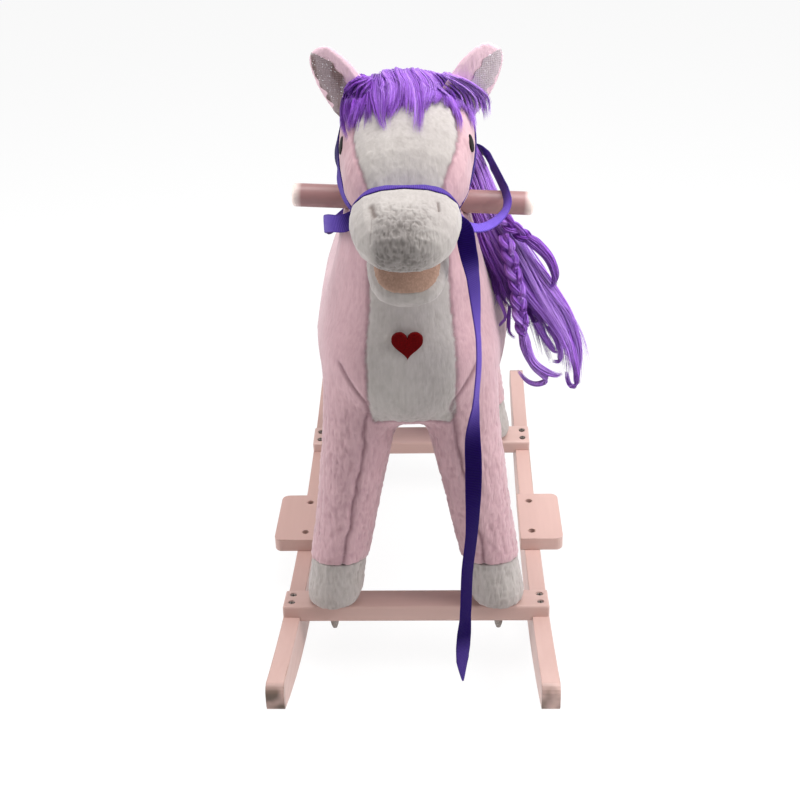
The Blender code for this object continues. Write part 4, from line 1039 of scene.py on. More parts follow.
def webbing_finish():
    """Ribbed webbing, dark where it lies flat to the eye and paler with painted sheen where it is
    turned, with painted shade in the grooves between its ribs, painted highlight on them, and
    painted shade along both edges.
    """
    finish = Finish("purple_webbing", WEBBING_SHEEN, 0.5)
    weave = finish.place("weave", finish.coordinates("UV"))
    # Painted sheen: the tone attribute mixes in the pale colour.
    colour = finish.blend(finish.attribute("tone"), WEBBING_DARK, WEBBING_SHEEN)
    # Painted shade in the grooves between the ribs and painted highlight on them.
    shade = finish.blend(weave["Shade"], (0.62, 0.60, 0.70), (1.18, 1.15, 1.10))
    colour = finish.blend(1.0, colour, shade, "MULTIPLY")
    # Painted shade along both edges.
    colour = finish.blend(finish.times(weave["Edge"], 0.55), colour, (0.030, 0.010, 0.130))
    finish.bump(weave["Height"], 0.0005, 0.7)
    finish.feed({SPECULAR: 0.05})
    return finish.coated(colour)


def hair_finish():
    """Glossy fibre: each strand has its own tone, which the point values carry."""
    finish = Finish("purple_hair", (0.30, 0.12, 0.52), 0.34)
    fibre = finish.place("fibre", finish.coordinates("UV"))
    tone = finish.weighted(finish.attribute("tone"), 0.8, fibre["Tone"], 0.2)
    ramp = finish.node("ValToRGB", {"Fac": tone})
    stops = ramp.color_ramp.elements
    stops[0].color, stops[1].color = (*HAIR_TONES[0][1], 1), (*HAIR_TONES[-1][1], 1)
    for place, colour in HAIR_TONES[1:-1]:
        stops.new(place).color = (*colour, 1)
    finish.bump(fibre["Height"], 0.0003, 0.4)
    finish.feed({SPECULAR: 0.32})
    return finish.coated(ramp.outputs["Color"])


def mouth_finish():
    """Short tan pile."""
    finish = Finish("mouth_cloth", (0.46, 0.28, 0.20), 0.8)
    pile = finish.place("pile", finish.coordinates(), Fineness=700.0)
    finish.bump(pile["Height"], 0.0004, 0.5)
    finish.sheen(0.2, 0.5, (1.0, 0.9, 0.85))
    return finish.coated(finish.blend(pile["Fleck"], (0.34, 0.205, 0.15), (0.44, 0.275, 0.205)))


def ear_cloth_finish():
    """Sheer net over satin with small bright flecks, darker in the animal's right ear."""
    finish = Finish("ear_cloth", (0.26, 0.16, 0.17), 0.45)
    vector = finish.coordinates()
    parts = finish.split(vector)
    waves_x, waves_z = (
        finish.maths("ABSOLUTE", finish.maths("SINE", finish.times(parts[axis], pitch * math.pi)))
        for axis, pitch in (("X", 620.0), ("Z", 520.0)))
    net = finish.eased(finish.maths("MINIMUM", waves_x, waves_z), 0.15, 0.6)
    flecks = finish.eased(finish.noise(vector, 700.0, 1.0), 0.66, 0.74)
    drawn = finish.stretched(vector, (1.0, 1.0, 0.25))
    silk = finish.times(finish.eased(finish.noise(drawn, 90.0), 0.42, 0.62), 0.35)
    dark = finish.blend(net, (0.21, 0.130, 0.130), (0.110, 0.058, 0.055))
    pale = finish.blend(net, (0.62, 0.54, 0.58), (0.42, 0.33, 0.36))
    colour = finish.blend(finish.eased(parts["X"], -0.01, 0.01), dark, pale)
    colour = finish.blend(silk, colour, (0.60, 0.50, 0.55))
    colour = finish.blend(flecks, colour, (0.88, 0.87, 0.92))
    finish.bump(net, 0.0002, 0.5)
    return finish.coated(colour, Metallic=finish.times(flecks, 0.8),
                         Roughness=finish.eased(flecks, 0.0, 1.0, 0.48, 0.15))


def mottled_finish(name, base, roughness, noise, span, low, high, stretch=None, bump=None,
                   specular=None, metallic=0.0):
    """One noise, drawn out where stretch is given, blends two colours and may raise a bump;
    returns the finish, the noise and the colour."""
    finish = Finish(name, base, roughness, metallic)
    vector = finish.coordinates()
    if stretch:
        vector = finish.stretched(vector, stretch)
    spots = finish.noise(vector, *noise)
    if bump:
        finish.bump(spots, *bump)
    if specular is not None:
        finish.feed({SPECULAR: specular})
    return finish, spots, finish.blend(finish.eased(spots, *span), low, high)


def felt_finish():
    """Fuzz of short fibres."""
    finish, _, colour = mottled_finish(
        "red_felt", (0.11, 0.0, 0.001), 0.95, (800.0, 4.0, 0.7), (0.3, 0.7),
        (0.060, 0.0, 0.0004), (0.170, 0.0008, 0.002), bump=(0.0006, 0.7), specular=0.1)
    return finish.coated(colour)


def eye_finish():
    """Black plastic, faintly swirled."""
    finish, _, colour = mottled_finish(
        "black_plastic", (0.010, 0.009, 0.010), 0.40, (160.0,), (0.3, 0.7),
        (0.006, 0.005, 0.006), (0.016, 0.012, 0.011), specular=0.02)
    return finish.coated(colour)


def raw_wood_finish():
    """Bare timber, its grain upright."""
    finish, _, colour = mottled_finish(
        "raw_wood", (0.70, 0.52, 0.33), 0.6, (90.0, 5.0, 0.6), (0.3, 0.7),
        (0.58, 0.40, 0.23), (0.78, 0.61, 0.42), stretch=(1.0, 1.0, 0.08), bump=(0.0003, 0.5))
    return finish.coated(colour)


def steel_finish():
    """Zinc plated screws, with painted shade in their recesses."""
    finish, spots, colour = mottled_finish(
        "steel", (0.30, 0.27, 0.25), 0.42, (1400.0, 3.0, 0.6), (0.4, 0.65),
        (0.17, 0.14, 0.125), (0.42, 0.38, 0.355), metallic=0.8)
    # Painted shade in the recesses.
    colour = finish.blend(finish.attribute("recess"), colour, (0.045, 0.028, 0.020))
    return finish.coated(colour, Roughness=finish.eased(spots, 0.3, 0.7, 0.34, 0.55))


SPECULAR = "Specular IOR Level"
PINK = ((0.63, 0.405, 0.440), (0.44, 0.255, 0.285))
CREAM = ((0.50, 0.462, 0.440), (0.34, 0.305, 0.282))
# The ears' pink plush is the same cloth, painted paler as painted light.
LIT_EAR_PINK = ((0.88, 0.62, 0.70), (0.72, 0.48, 0.55))
# Painted shade along the seams and creases of the plush, and in the muzzle's creases
SEAM_PAINTED_SHADE = (0.130, 0.045, 0.070)
CREAM_CREASE_SHADE = (0.075, 0.040, 0.028)
ROOT_SHADE = (0.115, 0.100, 0.092)
PAINT_TONES = ((0.57, 0.370, 0.328), (0.71, 0.500, 0.453), (0.42, 0.26, 0.23))
HAIR_TONES = (
    (0.0, (0.055, 0.006, 0.150)),
    (0.35, (0.245, 0.060, 0.500)),
    (0.70, (0.430, 0.180, 0.740)),
    (1.0, (0.600, 0.360, 0.880)),
)
GROUPS = {
    "pile": make_pile_group(),
    "painted_grain": make_grain_group(),
    "weave": make_weave_group(),
    "fibre": make_fibre_group(),
}
MATERIALS = {
    "plush": plush_finish("pink_plush", *PINK, SEAM_PAINTED_SHADE, CREAM),
    "lit_ear_plush": plush_finish("lit_ear_plush", *LIT_EAR_PINK, SEAM_PAINTED_SHADE),
    "cream_plush": plush_finish("cream_plush", *CREAM, CREAM_CREASE_SHADE),
    "wood_x": wood_finish("painted_wood_across", "X"),
    "wood_y": wood_finish("painted_wood_along", "Y"),
    # The handlebar: painted wood darkened as painted shade, with pale ends as painted light.
    "bar": wood_finish("shaded_painted_bar", "X", shade=0.55),
    "webbing": webbing_finish(),
    "hair": hair_finish(),
    "mouth": mouth_finish(),
    "ear_cloth": ear_cloth_finish(),
    "felt": felt_finish(),
    "eye": eye_finish(),
    "raw_wood": raw_wood_finish(),
    "steel": steel_finish(),
}


# Camera, light and floor

def set_camera():
    """A camera turned by its pitch, heading and roll, with the photograph's focal length."""
    down, side, roll = CAMERA_DOWN, CAMERA_SIDE, CAMERA_ROLL
    ahead = np.array(
        (math.sin(side) * math.cos(down), math.cos(side) * math.cos(down), -math.sin(down)))
    level = np.array((math.cos(side), -math.sin(side), 0.0))
    over = np.cross(level, ahead)
    data = bpy.data.cameras.new("camera")
    data.sensor_width = SENSOR
    data.lens = CAMERA_FOCUS / PICTURE * SENSOR
    turn = np.eye(4)
    turn[:3, 0] = math.cos(roll) * level + math.sin(roll) * over
    turn[:3, 1] = -math.sin(roll) * level + math.cos(roll) * over
    turn[:3, 2], turn[:3, 3] = -ahead, CAMERA_PLACE
    SCENE.camera = linked("camera", data)
    SCENE.camera.matrix_world = Matrix(turn.tolist())


def set_light():
    """Broad soft lamps at both sides and above, and a white surround that fills the front."""
    for name, place, size, power in LAMPS:
        data = bpy.data.lights.new(name, "AREA")
        data.shape, data.size, data.energy = "DISK", size, power
        lamp = linked(name, data)
        lamp.location = place
        lamp.rotation_euler = (LAMP_AIM - Vector(place)).to_track_quat("-Z", "Y").to_euler()
    world = bpy.data.worlds.new("studio")
    SCENE.world = world
    world.use_nodes = True
    wiring = Wiring(world.node_tree)
    strength = wiring.node("MapRange", {
        "Value": wiring.seen_rays(), "To Min": SURROUND_FILL, "To Max": 1.0})
    backdrop = world.node_tree.nodes["Background"].inputs
    wiring.put(backdrop["Color"], WHITE)
    wiring.put(backdrop["Strength"], strength.outputs[0])


def set_floor():
    """A wide pale disc, which keeps the shadow and melts into the white surround."""
    mesh = bmesh.new()
    bmesh.ops.create_circle(mesh, cap_ends=True, segments=96, radius=FLOOR_REACH)
    data = bpy.data.meshes.new("floor")
    mesh.to_mesh(data)
    mesh.free()
    material = bpy.data.materials.new("pale_floor")
    material.use_nodes = True
    material.node_tree.nodes.clear()
    wiring = Wiring(material.node_tree)
    paint_node = wiring.node("BsdfDiffuse", {"Color": FLOOR_PAINT})
    glow = wiring.node("Emission", {"Color": WHITE, "Strength": FLOOR_GLOW})
    mix = wiring.node("MixShader", {
        "Fac": wiring.times(wiring.seen_rays(), FLOOR_GLOW_SHARE),
        1: paint_node.outputs[0], 2: glow.outputs[0]})
    wiring.node("OutputMaterial", {"Surface": mix.outputs[0]})
    data.materials.append(material)
    linked("floor", data)


# Webbing

def ribbon(name, node, line, across, tone, pointed=False):
    """A flat strap: at each station a superellipse of high power, so its edges are round and its
    faces flat, with its long side along across. A pointed one narrows to its end."""
    tangent = unit(np.gradient(line, axis=0))
    across = unit(across - tangent * (across * tangent).sum(1, keepdims=True))
    facing = np.cross(tangent, across)
    angle = circle(WEBBING_SIDES)
    u, v = (np.sign(wave) * np.abs(wave) ** power
            for wave, power in zip((np.cos(angle), np.sin(angle)), WEBBING_ROUNDING))
    half = np.full(len(line), WEBBING_WIDTH / 2)
    if pointed:
        left = np.linspace(length_of(line), 0, len(line))
        half = half * np.clip(0.08 + left / (WEBBING_WIDTH * 1.9), 0, 1) ** 0.85
    wide = u[None] * half[:, None]
    points = (
        line[:, None]
        + across[:, None] * wide[..., None]
        + facing[:, None] * (v[None, :, None] * WEBBING_THICK / 2)
    )
    data = closed_mesh(name, points, closed_faces(len(line), WEBBING_SIDES))
    lay_uv(data, np.repeat(distance_along(line), WEBBING_SIDES), wide.ravel())
    paint(data, "tone", np.repeat(tone, WEBBING_SIDES))
    return add_piece(data, "webbing", [node])


def traced(tree, centre, first, second, degrees):
    """Where rays aimed at a centre from round it in one plane first meet a surface."""
    found = []
    for angle in np.radians(degrees):
        out = Vector(first * math.cos(angle) + second * math.sin(angle))
        hit = tree.ray_cast(Vector(centre) + out * 0.2, -out)[0]
        found.append(tuple(hit) if hit else tuple(Vector(centre)))
    return np.array(found)


def band_between(node, front, back, tone):
    """A strap whose two edges are given: its middle line and width direction, spread evenly."""
    rows = np.hstack(((front + back) / 2, unit(back - front), tone[:, None]))
    rows = spread_evenly(softened(rows, 6), 180)
    ribbon(f"{node}_webbing", node, rows[:, :3], rows[:, 3:6], rows[:, 6])


def make_noseband(tree):
    """Round the muzzle's root, open below: its front edge lies on the muzzle and its back edge
    sinks into the crease before the brow, more on top than at the sides."""
    angles = np.linspace(-24, 204, 130)
    centre = HEAD_BACK + HEAD_AXIS * NOSEBAND_FRONT + HEAD_UP * 0.006
    front = softened(traced(tree, centre, SIDEWAYS, HEAD_UP, angles), 8)
    spoke = unit(front - centre)
    sink = np.radians(np.interp(np.abs(angles - 90), (0, 50, 100), (34, 30, 22)))[:, None]
    front = front + spoke * 0.0012
    back = front - (HEAD_AXIS * np.cos(sink) + spoke * np.sin(sink)) * WEBBING_WIDTH
    # Painted sheen: the noseband is painted at one middling paleness.
    band_between("noseband", front, back, np.full(len(front), 0.42))


def make_headstall(tree):
    """Cheek straps and crown strap in one plane, from the noseband round the poll. On the
    animal's right the back edge stands off the cheek, so that side shows its width."""
    run = -HEAD_AXIS * math.cos(HEADSTALL_RISE) + HEAD_UP * math.sin(HEADSTALL_RISE)
    square = np.cross(SIDEWAYS, run)
    start = HEAD_BACK + HEAD_AXIS * NOSEBAND_ALONG - HEAD_UP * HEADSTALL_DROP
    centre = start + run * 0.105
    turn = np.linspace(-62, 242, 170)
    half = WEBBING_WIDTH / 2 - 0.0005
    front, back = (softened(traced(tree, centre + square * step, SIDEWAYS, run, turn), 10)
                   for step in (half, -half))
    spoke = unit(back - centre)
    stand = np.interp(turn, (182, 188, 203, 210, 216, 236, 242),
                      (0.0, 0.0042, 0.0042, 0.0012, 0.0060, 0.0060, 0.0020))
    front, back = front + spoke * 0.0008, back + spoke * (0.0008 + stand[:, None])
    # Painted light: painted shade where the back edge stands off the cheek, and pale painted sheen
    # on either side.
    tone = np.interp(turn, (150, 186, 206, 216, 230), (0.35, 0.0, 0.0, 0.35, 0.60))
    band_between("headstall", front, back, tone)


def turned(line, degrees):
    """A strap's width direction: square to the line of sight where degrees is 0, and turned by
    that much about the strap, its far edge away from the eye."""
    sight = unit(line - np.array(CAMERA_PLACE))
    tangent = unit(np.gradient(line, axis=0))
    flat = unit(np.cross(tangent, sight))
    turn = np.radians(degrees)[:, None]
    return flat * np.cos(turn) + unit(np.cross(flat, tangent)) * np.sin(turn)


def make_rein():
    """The rein loop: flat webbing that shows its face in front, with its side kept from flipping
    over, and stands on edge behind the neck."""
    rein = smooth_line(REIN_ROUTE, 300)
    share = np.linspace(0, 1, len(rein))
    turn = np.interp(share, (0, 0.05, 0.11, 0.14, 0.19, 0.36), (58, 60, 62, 66, 64, 66))
    side = turned(rein, turn)
    same = np.concatenate(([1.0], np.sign((side[1:] * side[:-1]).sum(axis=1)))).cumprod()
    upright_from = round(0.36 * len(rein))
    side = side * (same * same[upright_from] * np.sign(side[upright_from, 2]))[:, None]
    upright = np.clip((share - 0.36) / 0.14, 0, 1)[:, None]
    side = softened(side * (1 - upright) + UPWARD * upright, 20)
    # Painted sheen and shade along the rein, given share by share along its length.
    tone = np.interp(share, (0, 0.09, 0.14, 0.19, 0.36, 0.50, 0.80, 0.965, 0.99),
                     (0.90, 1.00, 0.80, 0.30, 0.26, 0.3, 0.58, 0.64, 0.12))
    ribbon("rein_webbing", "rein_loop", rein, side, tone)


def make_loose_strap():
    """The loose strap: webbing that turns about itself as it hangs; each turn is given at a
    height, and painted sheen makes the strap the paler the more it is turned."""
    strap = smooth_line(STRAP_ROUTE, 260)
    height = strap[:, 2]
    turn = np.interp(
        height,
        (0.087, 0.100, 0.117, 0.135, 0.220, 0.240, 0.265, 0.288, 0.301, 0.327, 0.345, 0.360,
         0.380, 0.390, 0.450, 0.463, 0.474, 0.494, 0.508, 0.522, 0.535),
        (38, 27, 30, 46, 46, 43, 31, 14, 8, 8, 26, 48, 70, 74, 75, 69, 61, 49, 44, 20, 6),
    )
    # Painted sheen: paler the more the strap is turned, mostly above 0.3 m, and a paler lowest end
    # as painted light.
    tone = np.clip((turn - 14) / 62, 0, 1) ** 1.3 * np.interp(height, (0.30, 0.40), (0.05, 0.75))
    tone = np.maximum(tone, np.interp(height, (0.060, 0.095, 0.115), (0.34, 0.26, 0.0)))
    piece = ribbon("loose_strap_webbing", "loose_strap", strap, turned(strap, turn), tone, True)


# Hair

def rings_round(lines, radii, angle):
    """Points round many lines at once: lines is strands by steps by 3, radii the same without
    the last. Each ring stands square to its line."""
    tangent = unit(np.gradient(lines, axis=1))
    side = unit(np.cross(tangent, ASKEW))
    over = np.cross(side, tangent)
    ring = side[:, :, None] * np.cos(angle)[:, None] + over[:, :, None] * np.sin(angle)[:, None]
    return lines[:, :, None] + radii[:, :, None, None] * ring


def hair_piece(name, lines, radii, tones, stands_for=(), body="toy"):
    """Many hairs as one mesh of three-sided tubes: lines is strands by steps by 3, tones one
    number a strand."""
    strands, steps, _ = lines.shape
    radii = np.broadcast_to(radii, (strands, steps))
    points = rings_round(lines, radii, np.radians((90, 210, 330))).reshape(-1, 3)
    shift = np.arange(strands)[:, None, None] * steps * 3
    faces = [(one[None] + shift).reshape(-1, one.shape[1]) for one in
             (ring_faces(steps, 3), np.arange(3)[None], np.arange(3)[None, ::-1] + (steps - 1) * 3)]
    data = make_mesh(name, points, faces)
    paint(data, "tone", np.repeat(tones, steps * 3))
    along = np.tile(np.repeat(np.linspace(0, 1, steps), 3), strands)
    lay_uv(data, along, np.repeat(np.arange(strands) / strands * 5.0, steps * 3))
    add_piece(data, "hair", stands_for, body)


def hair_core(name, node, centre, across, out, scale, ridges, seed, body="toy"):
    """The body of a hair mass: an ellipse at each step, its radius ribbed by streaks that run
    with the flow."""
    steps, sides = len(centre), 120
    angle, share = circle(sides), np.linspace(0, 1, steps)
    along, aside = np.meshgrid(share * 3, np.cos(angle) * ridges, indexing="ij")
    upward = np.broadcast_to(np.sin(angle) * ridges, (steps, sides))
    table = np.stack((along, aside, upward), axis=-1).reshape(-1, 3)
    streak = clumpy(table, 1.0, seed).reshape(steps, sides)
    radius = scale * (0.90 + 0.14 * streak)
    points = (
        centre[:, None]
        + across[:, None] * (np.cos(angle)[None, :, None] * radius[..., None])
        + out[:, None] * (np.sin(angle)[None, :, None] * radius[..., None])
    )
    data = closed_mesh(name, points, closed_faces(steps, sides))
    # Painted shade: the core's tones are kept low, as the shade inside the hair mass.
    paint(data, "tone", 0.05 + 0.45 * streak)
    lay_uv(data, np.repeat(share, sides), np.tile(np.arange(sides) / sides * 4, steps))
    add_piece(data, "hair", [node], body)


def waves(rng, locks, t, low, high):
    """Slow swings for each lock, nothing at its root and full at its tip: a sine in each
    direction."""
    size = rng.uniform(low, high, (locks, 1, 1)) * (0.15 + 0.85 * t[None, :, None])
    pitch = rng.uniform(1.4, 3.0, (locks, 1))
    turn = 2 * math.pi * (pitch * t[None] + rng.random((locks, 1)))
    swing = np.stack((np.sin(turn), np.cos(turn * 0.9), 0.6 * np.sin(turn + 1.7)), axis=-1)
    return size * (swing - swing[:, :1])


def trimmed(lines, ends):
    """Each strand cut at its own share of its length, with its points spread again."""
    strands, steps, _ = lines.shape
    at = np.linspace(0, 1, steps)[None] * ends[:, None] * (steps - 1)
    low = np.clip(np.floor(at).astype(int), 0, steps - 2)
    part = (at - low)[..., None]
    rows = np.arange(strands)[:, None]
    return lines[rows, low] * (1 - part) + lines[rows, low + 1] * part


def bundle(rng, base, hairs, spread, curl=1.0, ends=(0.8, 0.12), flat=1.0):
    """Hairs round each base line: each keeps its place in a disc that draws in towards the tip,
    the tips of a lock hook aside together, and a few hairs stray. flat squeezes the disc
    upright."""
    locks, steps, _ = base.shape
    t = np.linspace(0, 1, steps)[None]
    tangent = unit(np.gradient(base, axis=1))
    side = unit(np.cross(tangent, ASKEW))
    over = np.cross(side, tangent)
    lock = np.repeat(np.arange(locks), hairs)
    count = len(lock)
    taper = np.interp(t, (0, 0.15, 0.7, 1), (ends[0], 1.0, 0.5 + 0.5 * ends[1], ends[1]))
    angle = rng.random((count, 1)) * 2 * math.pi + rng.normal(0, 0.7, (count, 1)) * t
    radius = spread * np.sqrt(rng.random((count, 1))) * taper
    radius = radius + np.abs(rng.normal(0, 0.0009, (count, 1))) * t**1.5
    hook = rng.uniform(0.0, 0.009, (locks, 1))[lock] * curl * np.clip((t - 0.68) / 0.32, 0, 1)**2
    aim = (rng.random((locks, 1)) * 2 * math.pi)[lock]
    u = radius * np.cos(angle) + hook * np.cos(aim)
    v = flat * (radius * np.sin(angle) + hook * np.sin(aim))
    lines = base[lock] + side[lock] * u[..., None] + over[lock] * v[..., None]
    middle, by_lock, by_hair = STRAND_TONES
    tones = rng.normal(middle, by_lock, locks)[lock] + rng.normal(0, by_hair, count)
    return trimmed(lines, rng.uniform(0.86, 1.0, count)), np.clip(tones, DARKEST, 1)


def thinning(t, radius):
    """Radii along a hair, full for most of its length and thin at its tip."""
    return radius * np.clip(1.15 - t**3, 0.15, 1)


def uneven(rng, lines):
    """How thick each hair is beside the others."""
    return rng.uniform(0.7, 1.25, (len(lines), 1))


def braided(rng, line, wide, crossings):
    """Three bundles that cross in turn: aside by the sine of an angle, and forwards by half the
    sine of twice that angle."""
    t = np.linspace(0, 1, len(line))
    tangent = unit(np.gradient(line, axis=0))
    flat = unit(np.cross(tangent, unit(line - np.array(CAMERA_PLACE))))
    deep = np.cross(flat, tangent)
    size = wide * np.interp(t, (0, 0.1, 0.9, 1), (0.6, 1.0, 0.9, 0.6))
    strands = []
    for third in range(3):
        angle = 2 * math.pi * (crossings * t + third / 3)
        base = (
            line
            + flat * (size * np.sin(angle))[:, None]
            + deep * (0.5 * size * np.sin(2 * angle))[:, None]
        )
        strands.append(bundle(rng, base[None], 44, wide * 0.62, curl=0, ends=(0.9, 0.8)))
    return joined(strands)


def joined(parts):
    """Several lots of hairs with their tones as one."""
    return tuple(np.concatenate(lot) for lot in zip(*parts))


def make_mane(tree):
    """Hair from the crest that falls over the left side: locks between guides, each a bundle of
    hairs that draws to a point and curls, over a body painted dark as the shade inside the mass,
    with braids and loose ends on it; the outer locks and loose ends are painted paler as painted
    light and the inner locks darker as painted shade."""
    steps, last = MANE_STEPS, MANE_CORE_STEPS
    rng = np.random.default_rng(77)
    guides = np.array([clear_of(tree, smooth_line(np.array(guide) / MM, steps), MANE_CLEARANCE)
                       for guide in MANE_GUIDES])
    low, high = guides[0], guides[-1]
    middle = (low + high) / 2
    across = (high - low) / 2 * 0.80
    out = unit(np.cross(unit(np.gradient(middle, axis=0)), across)) * 0.013
    taper = np.interp(np.arange(last), (0, 5, 20, last - 1), (0.55, 1.0, 1.0, 0.35))[:, None]
    hair_core("mane_core", "mane", middle[:last], across[:last] * taper, out[:last] * taper,
              1.0, 9.0, 5)
    t = np.linspace(0, 1, steps)
    for name, first, beyond, locks, hairs, pale in MANE_SPANS:
        place = first + (beyond - first) * (np.arange(locks) + rng.random(locks)) / locks
        row = np.clip(place.astype(int), 0, len(guides) - 2)
        part = (place - row)[:, None, None]
        base = guides[row] * (1 - part) + guides[row + 1] * part
        thick = np.interp(t, (0, 0.25, 0.75, 1), (0.005, 0.015, 0.017, 0.007))[None, :, None]
        depth = rng.uniform(-1, 1, (locks, 1, 1)) * thick
        base = base + depth * np.array((0.25, -1.0, 0.35))
        base = base + waves(rng, locks, t, 0.0022, 0.0050)
        base = trimmed(base, rng.uniform(0.82, 1.0, locks))
        lines, tones = bundle(rng, base, hairs, 0.0068, ends=(0.8, 0.30))
        # Painted light and shade: each span's hairs are made paler or darker by how far out they
        # lie.
        hair_piece(f"mane_{name}_strands", lines, thinning(t, MANE_RADIUS) * uneven(rng, lines),
                   np.clip(tones + pale, DARKEST_MANE, 1))
    wound, tones = joined([braided(rng, smooth_line(np.array(route) / MM, 70), wide, crossings)
                           for route, wide, crossings in MANE_BRAIDS])
    hair_piece("mane_braid_strands", wound, MANE_RADIUS, tones)
    loose, tones = joined([
        bundle(rng, smooth_line(np.array(route) / MM, steps)[None], hairs, spread, curl=0.3)
        for route, hairs, spread in MANE_ENDS])
    # The loose ends are painted paler, as painted light.
    hair_piece("mane_loose_strands", loose, thinning(t, LOOSE_RADIUS),
               np.clip(tones + 0.12, DARKEST_MANE, 1))


def make_tail():
    """A switch of hair from its root behind the body, combed down."""
    low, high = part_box("tail")
    root = np.array((0.0, low.y + 0.007, high.z - 0.010))
    places = np.array([(0.0, back, -below) for back, below, _ in TAIL_FORM]) + root
    half = np.array([wide for _, _, wide in TAIL_FORM])[:, None] * TAIL_WIDTH / 2
    out = unit(np.cross(unit(np.gradient(places, axis=0)), SIDEWAYS)) * half
    steps, locks, hairs = 36, 30, 24
    rows = smooth_line(np.hstack((places, SIDEWAYS * half, out)), steps)
    centre, across, out = rows[:, :3], rows[:, 3:6], rows[:, 6:]
    hair_core("tail_core", "tail", centre, across, out, 0.82, 5.0, 8, "tail")
    rng = np.random.default_rng(99)
    radius, angle = np.sqrt(rng.uniform(0.3, 1.0, locks)), rng.random(locks) * 2 * math.pi
    u, v = 0.86 * radius * np.cos(angle), 0.86 * radius * np.sin(angle)
    base = centre + across * u[:, None, None] + out * v[:, None, None]
    t = np.linspace(0, 1, steps)
    base = base + waves(rng, locks, t, 0.0012, 0.0022)
    lines, tones = bundle(rng, trimmed(base, rng.uniform(0.85, 1.0, locks)), hairs, 0.0045)
    hair_piece("tail_strands", lines, thinning(t, TAIL_RADIUS) * uneven(rng, lines), tones,
               body="tail")


def make_forelock(tree):
    """A fringe rooted behind the crown and combed forward and to both sides: locks on the guides
    and halfway between them, kept clear of the head, each parting into small flat locks."""
    steps = 18
    t = np.linspace(0, 1, steps)
    rng = np.random.default_rng(123)
    routes = np.array(FORELOCK_GUIDES).reshape(-1, 5, 3) / TENTH_MM
    routes[:, :3, 2] -= 0.0035
    spreads = np.array(FORELOCK_SPREADS) / TENTH_MM
    rows = np.arange(0, len(routes) - 0.75, 0.5)
    low = np.minimum(rows.astype(int), len(routes) - 2)
    part = (rows - low)[:, None, None]
    locks = routes[low] * (1 - part) + routes[low + 1] * part
    longer = np.where(rows == rows.astype(int), 0.20, 0.04) + rng.uniform(-0.12, 0.12, len(rows))
    locks[:, -1] += (locks[:, -1] - locks[:, -2]) * longer[:, None]
    for side, chosen in (("right", rows < 8.25), ("left", rows > 8.25)):
        strands = []
        for lock, spread in zip(locks[chosen], spreads[low[chosen]]):
            guide = softened(clear_of(tree, smooth_line(lock, 70), 0.0032), 8)
            guide = spread_evenly(clear_of(tree, guide, 0.0027), steps)
            small, _ = bundle(rng, guide[None], 4, spread, 0.1, (0.95, 0.65), 0.35)
            hairs, tone = bundle(rng, small, 24, 0.0030, 0.1, (1.1, 0.35), 0.34)
            # Painted light: the fringe is painted paler towards the animal's left, where the light
            # falls, and darker towards its right.
            pale = np.interp(lock[2, 0], (-0.047, -0.025, 0.03, 0.07), (-0.32, -0.06, 0.22, 0.55))
            strands.append((hairs, np.clip(tone + rng.normal(pale, 0.05), DARKEST, 1)))
        lines, tones = joined(strands)
        thick = FORELOCK_RADIUS * np.clip(1.1 - t**2.5, 0.12, 1)
        thick = thick * rng.uniform(0.7, 1.2, (len(lines), 1))
        hair_piece(f"forelock_{side}_strands", lines, thick, tones, ["forelock"])


# Small soft pieces

def make_ear_linings():
    """The inside of each ear: a sheet laid on the ear's front from its outer edge to the fold,
    which narrows towards the tip; a ring of points a row, front and back."""
    rows, columns = 60, 26
    share = np.linspace(*LINING_ROWS, rows)
    for side, sign in zip(SIDES, (1, -1)):
        tree = surface_of(f"ear_{side}_plush")
        points = node_points(f"ear_{side}")
        low, high = points[:, 2].min(), points[:, 2].max()
        heights = low + (high - low) * share
        near = [points[np.abs(points[:, 2] - z) < 0.004, 0] * sign for z in heights]
        outer, inner = (softened(np.array([edge(x) for x in near])[:, None], 4)
                        for edge in (np.max, np.min))
        width = np.interp(share, (0.0, 0.3, 0.6, 0.85, 0.93), LINING_SHARE[side])
        width = (width * np.sqrt(np.clip((LINING_END - share) / 0.10, 0, 1)))[:, None]
        x = sign * (outer - (outer - inner) * width * np.linspace(0.10, 1, columns)[None])
        front = []
        for x_here, z in zip(x.ravel(), np.repeat(heights, columns)):
            hit, facing, _, _ = tree.ray_cast(Vector((x_here, -0.6, z)), Vector((0, 1, 0)))
            if hit is None:
                hit, facing, _, _ = tree.find_nearest(Vector((x_here, -0.15, z)))
            front.append(tuple(hit + facing * LINING_OFF))
        front = softened(np.array(front).reshape(rows, columns, 3), 2)
        back = front + np.array((0, LINING_THICK, 0))
        ring = np.concatenate((front, back[:, ::-1]), axis=1)
        data = closed_mesh(f"ear_cloth_{side}", ring, closed_faces(rows, 2 * columns))
        add_piece(data, "ear_cloth", [f"ear_lining_{side}"])


